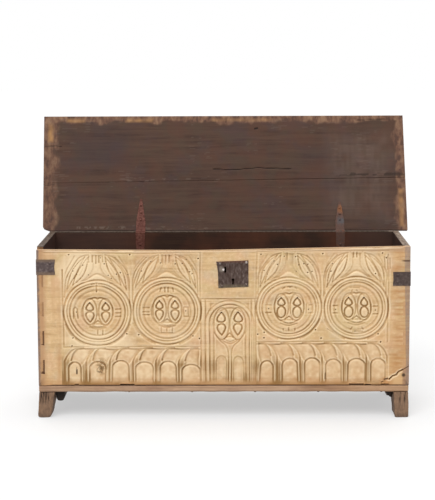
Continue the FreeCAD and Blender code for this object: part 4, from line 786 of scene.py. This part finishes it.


# What the finish reads at each point: dirt in the cuts, painted shade on the arcade ribs, rubbed ridges, and
# bright, orange and grey patches.
patchy = 0.75 + 0.55 * mottle(across, up, 42, 21)
hollow = cut - blurred(cut, 3)
broad_hollow = cut - blurred(cut, 8)
by_pillar = np.maximum(spot(-88, 200, 30, 90), spot(-372, 225, 40, 60) * 0.5)
under_niches = np.maximum(spot(-100, 150, 560, 22), spot(420, 150, 330, 22)) * 0.45
pale_spots = np.maximum(0.9 * spot(-575, 640, 75, 60), 0.8 * spot(608, 152, 48, 15))
orange_wear = np.maximum.reduce([
    np.maximum(by_pillar * 0.55, under_niches) * (0.6 + 0.4 * mottle(across, up, 20, 23)),
    0.5 * spot(-664, 235, 9, 80), 0.2 * spot(262, 195, 36, 62), 0.8 * spot(658, 150, 34, 20)])
by_eyes = np.maximum.reduce([0.40 * spot(x, z, 84, 88) for x, z, *_ in ROUNDELS])
by_eyes *= 0.5 + 0.5 * mottle(across, up, 24, 27)
in_arcades = np.where((across > LEFT_STILE) & (across < RIGHT_STILE), 0.6, 1.0) * (abs(across) < 655)
# Painted shade down the ribs and walls of the arcades, under the sails; it goes into the dirt mark.
painted_rib_shade = 0.92 * in_arcades * (1 - front.bright).clip(0, 1) * ((262 - up) / 40).clip(0, 1) * patchy
worm_dust = 0.9 * spot(-494, 212, 26, 38) * (mottle(across, up, 7, 29) > -0.2)
pale_sails = 0.9 * np.maximum(spot(-574, 262, 36, 26), spot(-478, 266, 40, 24))
pale_leaves = np.maximum(spot(-560, 612, 120, 80), 0.55 * spot(520, 620, 120, 60)) * (up > 540)
pale_ring = spot(-500, 318, 150, 42)
in_field = (front.bright > 0.5) * (up < 320)
blotches = in_field * (0.7 * mottle(across, up, 16, 31) + 0.5 * mottle(across, up, 9, 37))
brown_sails = 0.16 * in_field * spot(-360, 262, 300, 44)
gathered = (0.42 * np.where(up < 300, 0.68, 1.0) * hollow + 0.08 * broad_hollow) * patchy
MARKS = {
    # dirt in the cuts, and the painted shade on the arcade ribs
    "dirt": (gathered + by_eyes + painted_rib_shade + worm_dust).clip(0, 0.85),
    "deep_dirt_and_shade": ((front.pierced - 3.2) / 3).clip(0, 0.92),
    "rubbed": (-0.52 * hollow * (up > 150) + 0.4 * pale_sails * (front.bright > 0.4) + 0.8 * pale_leaves
               + 0.9 * pale_ring + 0.5 * blotches.clip(0, None)).clip(0, 0.7),
    "bright": np.maximum(front.bright * (0.75 + 0.3 * mottle(across, up, 38, 25)), pale_spots).clip(0, 1),
    "orange": (orange_wear + 0.35 * (-blotches).clip(0, None) + brown_sails).clip(0, 1),
    "greyed": (spot(700, 150, 50, 34) * 0.8).clip(0, 1)}
# The middle slab is open behind the lock plate, by these margins: left, right, below and above.
OPEN_LEFT, OPEN_RIGHT, OPEN_LOW, OPEN_HIGH = 25, 11, 11, 16
first = 0
for name, cells in zip(("front_carving_left", "front_carving_middle", "front_carving_right"), slab_cells):
    slab = grid(name, cells, len(rows) - 1, front_oak)
    column, row = cell_numbers(slab, cells, len(rows) - 1)
    column += first
    first += cells
    move_points(slab, np.stack([across, board_low.y + cut, up], axis=2)[row, column])
    for mark, values in MARKS.items():
        paint(slab, mark, values[row, column])
    alone(slab)
    bpy.ops.object.mode_set(mode="EDIT")
    bpy.ops.mesh.select_all(action="DESELECT")
    bpy.ops.object.mode_set(mode="OBJECT")
    for cell in slab.data.polygons:
        x, _, z = cell.center / MM
        cell.select = (plate_low.x + OPEN_LEFT < x < plate_high.x - OPEN_RIGHT
                       and plate_low.z + OPEN_LOW < z < plate_high.z - OPEN_HIGH)
    bpy.ops.object.mode_set(mode="EDIT")
    if any(cell.select for cell in slab.data.polygons):
        bpy.ops.mesh.delete(type="FACE")
    bpy.ops.mesh.select_all(action="SELECT")
    bpy.ops.mesh.region_to_loop()
    bpy.ops.mesh.extrude_edges_move(TRANSFORM_OT_translate={"value": (0, SLAB * MM, 0)})
    back = (board_low.y + SLAB) * MM
    bpy.ops.transform.resize(value=(1, 0, 1), center_override=(0, back, 0))
    bpy.ops.mesh.fill(use_beauty=False)
    bpy.ops.mesh.select_all(action="SELECT")
    bpy.ops.mesh.normals_make_consistent(inside=False)
    bpy.ops.object.mode_set(mode="OBJECT")
    bpy.ops.object.shade_smooth_by_angle(angle=math.radians(50))
    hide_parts("front_board")
    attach(slab, "chest")

plank = copy_of("front_board", "front_plank", front_oak)
bpy.ops.object.select_all(action="DESELECT")
bpy.ops.mesh.primitive_cube_add(size=1, location=(0, board_low.y * MM, (board_low.z + board_high.z) / 2 * MM))
recess = bpy.context.object
recess.scale = ((CARVED_RIGHT - CARVED_LEFT) * MM, 2 * SLAB * MM, 2 * (board_high.z - board_low.z) * MM)
bpy.ops.object.transform_apply(location=True, rotation=True, scale=True)
shape(plank, "BOOLEAN", operation="DIFFERENCE", object=recess, solver="EXACT")
points = points_of(plank)
# Behind the plate the mortise of the lock is painted dark: painted shade.
PLATE_LAP = 6
in_mortise = np.ones(len(points), bool)
for axis in (0, 2):
    in_mortise &= points[:, axis] > plate_low[axis] + PLATE_LAP
    in_mortise &= points[:, axis] < plate_high[axis] - PLATE_LAP
paint(plank, "deep_dirt_and_shade", 0.95 * in_mortise)
bpy.data.objects.remove(recess)
alone(plank)
bpy.ops.object.shade_smooth_by_angle(angle=math.radians(30))
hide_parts("front_board")
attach(plank, "chest")


# Lock
# A hammered plate of wrought iron nailed over the mortise, with a slot for the staple of the hasp and
# a keyhole. The bolt, its guides and its spring lie behind it. Rust has browned it, bare on the high spots.
def iron(name, bright, middle, rust, hammer_mm=11, run=(1, 1, 1)):
    """Wrought iron: dents of the hammer, brown rust in the dents, a dull shine where it is rubbed."""
    material, tree, where = new_material(name)
    drawn = add(tree, "Mapping", {"Vector": where[0], "Scale": run})
    dents = add(tree, "TexNoise", {
        "Vector": drawn, "Scale": 1000 / hammer_mm, "Detail": 3, "Roughness": 0.55})
    pits = add(tree, "TexNoise", {"Vector": where[0], "Scale": 1000 / 2.4, "Detail": 3, "Roughness": 0.7})
    clouds = add(tree, "TexNoise", {"Vector": where[0], "Scale": 1000 / 35, "Detail": 2})
    tone = add(tree, "ValToRGB", (dents,), stops=((0.35, rust), (0.52, middle), (0.70, bright)))
    tone = coats(tree, tone, (((clouds, 0.45, 0.65, 0, 0.6), rust), ((pits, 0.55, 0.75, 0, 0.5), rust)))
    return material, tree, where, tone, add(tree, "Math", (dents, pits), operation="ADD")


plate_iron, tree, (place, x, y, z), tone, height = iron(
    "wrought iron, hammered and browned", "#74645C", "#54443E", "#3E2B22", run=(1.4, 1, 0.6))
# A painted highlight on the dented bulge beside the slot: a paler patch with a near-white glint in it.
torn = add(tree, "TexNoise", {"Vector": place, "Scale": 1000 / 9, "Detail": 2})
off_highlight, off_glint = [
    add(tree, "VectorMath", (place, middle), operation="DISTANCE", output="Value")
    for middle in ((-0.007, -0.3645, 0.610), (0.0010, -0.3645, 0.609))]
off_highlight = add(tree, "Math", (torn, 0.014, off_highlight), operation="MULTIPLY_ADD")
finish(tree, tone, (
    ((z, 0.634, 0.642, 0, 0.6), "#5E3626"),  # red rust along the top
    ((z, 0.552, 0.542, 0, 0.5), "#6A5E45"),  # yellow dirt along the foot
    # painted highlights beside the slot
    ((off_highlight, 0.021, 0.010, 0, 0.6), "#958A7C"), ((off_glint, 0.0060, 0.0025, 0, 0.9), "#E4DAD6"),
    ((y, -0.3622, -0.3618, 0, 0.95), "#0D0806"),  # painted shade: black on all that lies inside the mortise
    ), height, roughness=0.5, relief_mm=1.0, metallic=0.5)
dress(plate_iron, "lock_plate", "lock_bolt", "lock_bolt_guides", "lock_spring")

nail_iron, tree, (place, x, y, z), tone, height = iron(
    "wrought iron nail heads, with a painted highlight", "#66564C", "#54453D", "#3C2D26", hammer_mm=6)
# A painted highlight: the upper right head is bright at its middle, the others less or not at all.
finish(tree, tone, (
    ((z, 0.60, 0.61, 0.1, 0.6), (x, 0.05, 0.06, 0.3, 0.8), (y, -0.3652, -0.3662, 0, 1), "#E0D4CC"),),
    height, roughness=0.4, relief_mm=0.5, metallic=0.6)
dress(nail_iron, "lock_plate_nails")


# Corner straps
# Straps of sheet iron bent round the front corners and nailed, to hold the dovetails shut.
# Cooler and darker than the lock plate, almost violet, with brown edges.
strap_iron, tree, (place, x, y, z), tone, height = iron(
    "sheet iron of the corner straps", "#7A6C67", "#5C4E4B", "#4D3F3D")
edges = [add(tree, "MapRange", edge) for edge in ((z, 0.638, 0.646, 0, 0.7), (z, 0.604, 0.596, 0, 0.6))]
edges = add(tree, "Math", edges, operation="ADD")
finish(tree, tone, (
    (edges, (x, 0.1, 0.0, 0, 1), "#7A6450"),  # brown edges, on the left strap
    ((x, 0.0, 0.1, 0, 0.5), "#38291F"),  # the right one is darker
    ), height, roughness=0.5, relief_mm=0.8, metallic=0.5)
dress(strap_iron, "left_corner_strap", "right_corner_strap", "corner_strap_nails", "bottom_nails",
      "batten_nails")


# Lid
# Two oak planks held edge to edge by dowels. The underside keeps a dark stain that shut air turned brown;
# where it overhangs and rubs on the rim it is worn back to bare tan wood. Its joint has opened a little.
hinge = next(joint for joint in frame["joints"] if joint["name"] == "lid_hinge")
pivot = np.array(hinge["pos_m"]) / MM
swing = math.radians(hinge["range_deg"][1])


def swung(points, angle):
    """Points turned about the hinge."""
    return (points - pivot) @ np.array(Matrix.Rotation(angle, 3, "X")).T + pivot


def shut_box(node):
    """The lowest and highest corner of a lid piece with the lid shut."""
    points = swung(points_of(nodes[node]), swing)
    return points.min(axis=0), points.max(axis=0)


front_low, front_high = shut_box("lid_front_plank")
rear_low, rear_high = shut_box("lid_rear_plank")
hinge_edge = rear_high[1]
lid_front = hinge_edge - front_low[1]
lid_under, lid_top = rear_low[2], rear_high[2]
LID_SKEW = 8
HAIR = 0.45
lid_half = (rear_high[0] - front_low[0] - LID_SKEW) / 2 - HAIR
CLIP_LENGTH = 30
CLIP_DEPTH = 11
CLIP_ROUND = 9
LID_CELL = 3.5
SHOULDER = 0.6
ARRIS = 1.2
SKIN = 2
OUTSIDE_WEAR = 0.35
JOINT_GAP = (0.05, 0.7)
joint_left = hinge_edge - front_high[1]
joint_right = hinge_edge - rear_low[1]

lid_oak, tree, (place, *_), tone, grain = timber(
    "stained oak of the lid", "#533D31", "#4B362C", "#3E2B23", run=(0.05, 1, 1), ring_mm=18, cloud_mm=90)
# The stain has aged to violet, olive and red in broad patches.
for spacing_mm, colour in ((120, "#48393B"), (75, "#4B3E31"), (95, "#57372A")):
    cloud = add(tree, "TexNoise", {
        "Vector": place, "Scale": 1000 / spacing_mm, "Detail": 3, "Roughness": 0.6})
    tone = coats(tree, tone, (((cloud, 0.48, 0.62, 0, 0.35), colour),))
down_edge = add(tree, "Mapping", {"Vector": place, "Scale": (1, 0.45, 0.45)})
rubbed_through = add(tree, "TexNoise", {
    "Vector": down_edge, "Scale": 1000 / 20, "Detail": 4, "Roughness": 0.6})
bare_wood = add(tree, "ValToRGB", (rubbed_through,), stops=(
    (0.36, "#553D33"), (0.49, "#775644"), (0.64, "#94735A")))
wear = [(add(tree, "Attribute", output="Fac", attribute_name=mark), colour) for mark, colour in (
    ("haze", "#3D3233"), ("dusty", "#74635A"), ("bare", bare_wood), ("gold", "#B38655"), ("scuff", "#75655A"),
    ("dirt", "#150E0A"))]
finish(tree, tone, wear, grain, roughness=0.65, relief_mm=0.35, specular=0.15)


def patches(x, s, *spots):
    """The strongest of some soft rectangles: strength, left, right, low, high and softness of each."""
    strongest = 0
    for strength, left, right, low, high, soft in spots:
        sides = np.minimum(x - left, right - x) / soft
        ends = np.minimum(s - low, high - s) / soft
        strongest = np.maximum(strongest, strength * np.minimum(sides, ends).clip(0, 1))
    return strongest


def lid_plank(name, node, near, far, seed, cuts):
    """A plank between two edges, given as distances from the hinge edge at its left and right ends."""
    cells_across = round(2 * lid_half / LID_CELL)
    cells_up = round((far[1] - near[1]) / LID_CELL)
    share, s = np.meshgrid(np.linspace(-1, 1, cells_across + 1), np.linspace(0, 1, cells_up + 1))
    low = near[0] + (near[1] - near[0]) * (share + 1) / 2
    if near == (HAIR, HAIR):
        from_end = lid_half * (share + 1)
        clip = CLIP_DEPTH * (1 - from_end / CLIP_LENGTH).clip(0, 1)
        shoulder = CLIP_ROUND - np.sqrt(CLIP_ROUND ** 2 - (CLIP_ROUND - from_end).clip(0, CLIP_ROUND) ** 2)
        low = low + clip + shoulder * SHOULDER
    high = far[0] + (far[1] - far[0]) * (share + 1) / 2
    s = low + (high - low) * s
    x = lid_half * share + LID_SKEW * (0.5 - s / lid_front)
    face = Face(x, s, seed, wander=1.5, lump=60)
    for line, width, depth in cuts:
        face.pierce(line, width, depth)
    from_left, from_right, from_front = lid_half + x, lid_half - x, lid_front - s
    edge = np.minimum(np.minimum(from_left, from_right), from_front)
    waves = 0.25 * (1 + mottle(x, s * 3, 190, seed + 4))
    cut = HAIR + face.depth() + waves * (edge / 20).clip(0, 1)
    plank = grid(name, cells_across, cells_up, lid_oak)
    column, row = cell_numbers(plank, cells_across, cells_up)
    move_points(plank, np.stack([x, hinge_edge - s, lid_under + cut], axis=2)[row, column])
    rag = 14 * mottle(x, s, 60, 31) + 6 * mottle(x, s, 17, 32)
    # Its edges are worn bare: how much, how far in, from which edge and how softly it ends.
    bare = np.maximum.reduce([
        share * ((reach - from_edge + rag) / soft).clip(0, 1) for share, reach, from_edge, soft in (
            (0.7, 62, from_left, 16), (0.85, 46, from_right, 14), (0.95, 33, from_front, 11))])
    speckle = 0.5 + 0.5 * mottle(x, s, 9, 33) * mottle(x, s, 31, 34)
    gold = patches(
        x, s, (0.95, -778, -744, 395, 492, 14), (0.6, 752, 782, 10, 190, 12), (0.6, -697, -607, 486, 512, 12),
        (0.6, -437, -307, 486, 512, 12), (0.5, -57, 213, 490, 512, 12))
    haze = patches(x, s, (0.5, -700, -380, 250, 480, 90), (0.4, 300, 500, 270, 400, 70))
    dusty = patches(x, s, (1, 420, 760, 20, 470, 90))
    smear = patches(x, s, (0.6, 470, 792, 238, 262, 9)) * (mottle(x * 0.5, s, 8, 43) > -0.1)
    scuff = np.maximum.reduce([
        patches(x, s, (0.5, -640, -425, 5, 20, 5)) * (mottle(x * 1.6, s * 0.5, 9, 36) > 0.3),
        patches(x, s, (0.35, -460, 20, near[0] - 8, near[0] + 30, 16)) * (mottle(x, s * 5, 26, 37) > 0.45),
        0.2 * (mottle(x * 0.4, s * 4, 14, 38) * mottle(x, s, 120, 39) > 0.45)])
    marks = {
        "bare": bare * (0.7 + 0.3 * speckle), "gold": gold * (0.6 + 0.5 * mottle(x, s, 22, 35)).clip(0, 1),
        "haze": haze, "scuff": scuff,
        "dusty": 0.26 * dusty * (0.7 + 0.3 * mottle(x, s * 0.3, 11, 42) + 0.3 * mottle(x, s, 37, 44)),
        "dirt": np.maximum(face.pierced / 2.5, smear).clip(0, 0.95)}
    for mark, values in marks.items():
        paint(plank, mark, values[row, column])
    alone(plank)
    bpy.ops.object.mode_set(mode="EDIT")
    bpy.ops.mesh.select_all(action="SELECT")
    bpy.ops.mesh.extrude_region_move(TRANSFORM_OT_translate={"value": (0, 0, (lid_top - lid_under) * MM)})
    bpy.ops.transform.resize(value=(1, 1, 0), center_override=(0, 0, (lid_top - HAIR) * MM))
    bpy.ops.mesh.select_all(action="SELECT")
    bpy.ops.mesh.normals_make_consistent(inside=False)
    bpy.ops.object.mode_set(mode="OBJECT")
    outside = points_of(plank)[:, 2] > lid_top - SKIN
    for mark in ("bare", "gold", "haze", "scuff", "dusty"):
        layer = plank.data.attributes[mark].data
        values = np.empty(len(layer), np.float32)
        layer.foreach_get("value", values)
        layer.foreach_set("value", np.where(outside, OUTSIDE_WEAR * values, values))
    shape(plank, "BEVEL", width=ARRIS * MM, segments=2, limit_method="ANGLE", angle_limit=math.radians(70))
    move_points(plank, swung(points_of(plank), -swing))
    bpy.ops.object.shade_smooth_by_angle(angle=math.radians(50))
    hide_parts(node)
    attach(plank, "lid")


REAR_CUTS = (([(-405, 221), (-385, 224), (-352, 219)], 4, 3.5), ([(-787, 205), (-740, 206)], 3.5, 1.6))
FRONT_CUTS = (
    ([(-47, 276), (60, 272), (150, 280), (293, 275)], 4.4, 3.4),
    ([(-787, 381), (-735, 383), (-712, 380)], 5, 2.2),
    ([(583, 498), (660, 503), (743, 499)], 4, 2), ([(134, 459), (146, 461)], 9, 3))
rear_edge, front_edge = (HAIR, HAIR), (lid_front - HAIR, lid_front - HAIR)
lid_plank("lid_rear_plank_worn", "lid_rear_plank",
          rear_edge, (joint_left - JOINT_GAP[0], joint_right - JOINT_GAP[1]), 41, REAR_CUTS)
lid_plank("lid_front_plank_worn", "lid_front_plank",
          (joint_left + JOINT_GAP[0], joint_right + JOINT_GAP[1]), front_edge, 51, FRONT_CUTS)
dress(lid_oak, "lid_dowels")


# Hinges
# Two pairs of strap hinges of wrought iron, nailed to the lid's underside and to the back board.
# The lid's straps are red with rust, the right one with orange and grey patches where it flakes.
hinge_iron, tree, (place, x, y, z), tone, height = iron(
    "rusted wrought iron of the hinges", "#7C5044", "#6C4237", "#562E25")
flakes = add(tree, "TexNoise", {"Vector": place, "Scale": 1000 / 16, "Detail": 3})
flake_tone = add(tree, "ValToRGB", (height,), stops=((0.95, "#4E423C"), (1.05, "#683F29")))
rust = [
    ((x, 0.1, 0.11, 0, 0.8), "#5A463D"),  # the right pair is browner
    ((flakes, 0.48, 0.6, 0, 1), (x, 0.1, 0.11, 0, 0.75), flake_tone)]
for s, colour in ((92, "#8E5A36"), (42, "#54565A")):
    middle = tuple(swung(np.array([506, hinge_edge - s, lid_under]), -swing) * MM)
    away = add(tree, "VectorMath", (place, middle), operation="DISTANCE", output="Value")
    away = add(tree, "Math", (flakes, 0.02, away), operation="MULTIPLY_ADD")
    rust.append(((away, 0.034, 0.020, 0, 0.65), colour))
finish(tree, tone, rust, height, roughness=0.65, relief_mm=0.8, metallic=0.15, specular=0.25)
for part in ("back_strap", "lid_strap", "pin"):
    dress(hinge_iron, f"left_hinge_{part}", f"right_hinge_{part}")
dress(hinge_iron, "hinge_back_nails", "hinge_lid_nails")


# Floor, light and camera
# A white floor that runs out to a white room, an even sky, a broad lamp above the front and one overhead.
# The floor glows by half, so that the shadow under the chest stays a pale grey.
FLOOR_SIZE = 60
GLOW = 0.5
SKY = 0.50


def seen(tree):
    """One for rays from the camera, straight or by way of a shiny or clear thing, and none for the others."""
    camera_ray, *rays = [
        add(tree, "LightPath", output=f"Is {kind} Ray") for kind in ("Camera", "Glossy", "Transmission")]
    return add(tree, "Math", (camera_ray, add(tree, "Math", rays, operation="MAXIMUM")), operation="MAXIMUM")


bpy.ops.object.select_all(action="DESELECT")
bpy.ops.mesh.primitive_plane_add(size=FLOOR_SIZE, location=(0, 0, 0))
floor = bpy.context.object
floor.name = "floor"
paper = bpy.data.materials.new("white studio floor")
paper.use_nodes = True
tree = paper.node_tree
tree.nodes.clear()
shown = seen(tree)
white = add(tree, "Mix", {0: shown, 6: "#D8D8D8", 7: "#EAEAEA"}, data_type="RGBA")
glowing = add(tree, "Math", (shown, GLOW), operation="MULTIPLY")
add(tree, "OutputMaterial", {"Surface": add(tree, "MixShader", (
    glowing, add(tree, "BsdfDiffuse", (white,)), add(tree, "Emission", ("#FFFFFF", 1.0))))})
floor.data.materials.append(paper)

world = bpy.data.worlds.new("room")
bpy.context.scene.world = world
world.use_nodes = True
tree = world.node_tree
tree.nodes.clear()
strength = add(tree, "MapRange", (seen(tree), 0, 1, SKY, 1.0))
add(tree, "OutputWorld", {"Surface": add(tree, "Background", {"Color": "#FFFFFF", "Strength": strength})})

for name, energy, lean, turn, spread in (("front_lamp", 1.9, 38, -10, 45), ("top_lamp", 1.2, -20, 0, 50)):
    bpy.ops.object.select_all(action="DESELECT")
    bpy.ops.object.light_add(type="SUN", rotation=(math.radians(lean), math.radians(turn), 0))
    lamp = bpy.context.object
    lamp.name = name
    lamp.data.energy = energy
    lamp.data.angle = math.radians(spread)

# The camera stands at eye level. Its focal length is given in pixels of a render 500 pixels high.
SENSOR = 36
FOCAL_PIXELS = 1606
RENDER_PIXELS = 500
EYE = (0.057, -6.7296, 1.598)
PITCH = 8.13
YAW = -0.714
ROLL = -0.23
bpy.ops.object.camera_add(location=EYE)
camera = bpy.context.object
camera.name = "camera"
turn = (Matrix.Rotation(math.radians(-YAW), 3, "Z") @ Matrix.Rotation(math.radians(90 - PITCH), 3, "X")
        @ Matrix.Rotation(math.radians(ROLL), 3, "Z"))
camera.rotation_euler = turn.to_euler()
camera.data.sensor_width = SENSOR
camera.data.lens = FOCAL_PIXELS / RENDER_PIXELS * SENSOR
camera.data.clip_end = 200
bpy.context.scene.camera = camera
bpy.context.scene.view_settings.view_transform = "Standard"
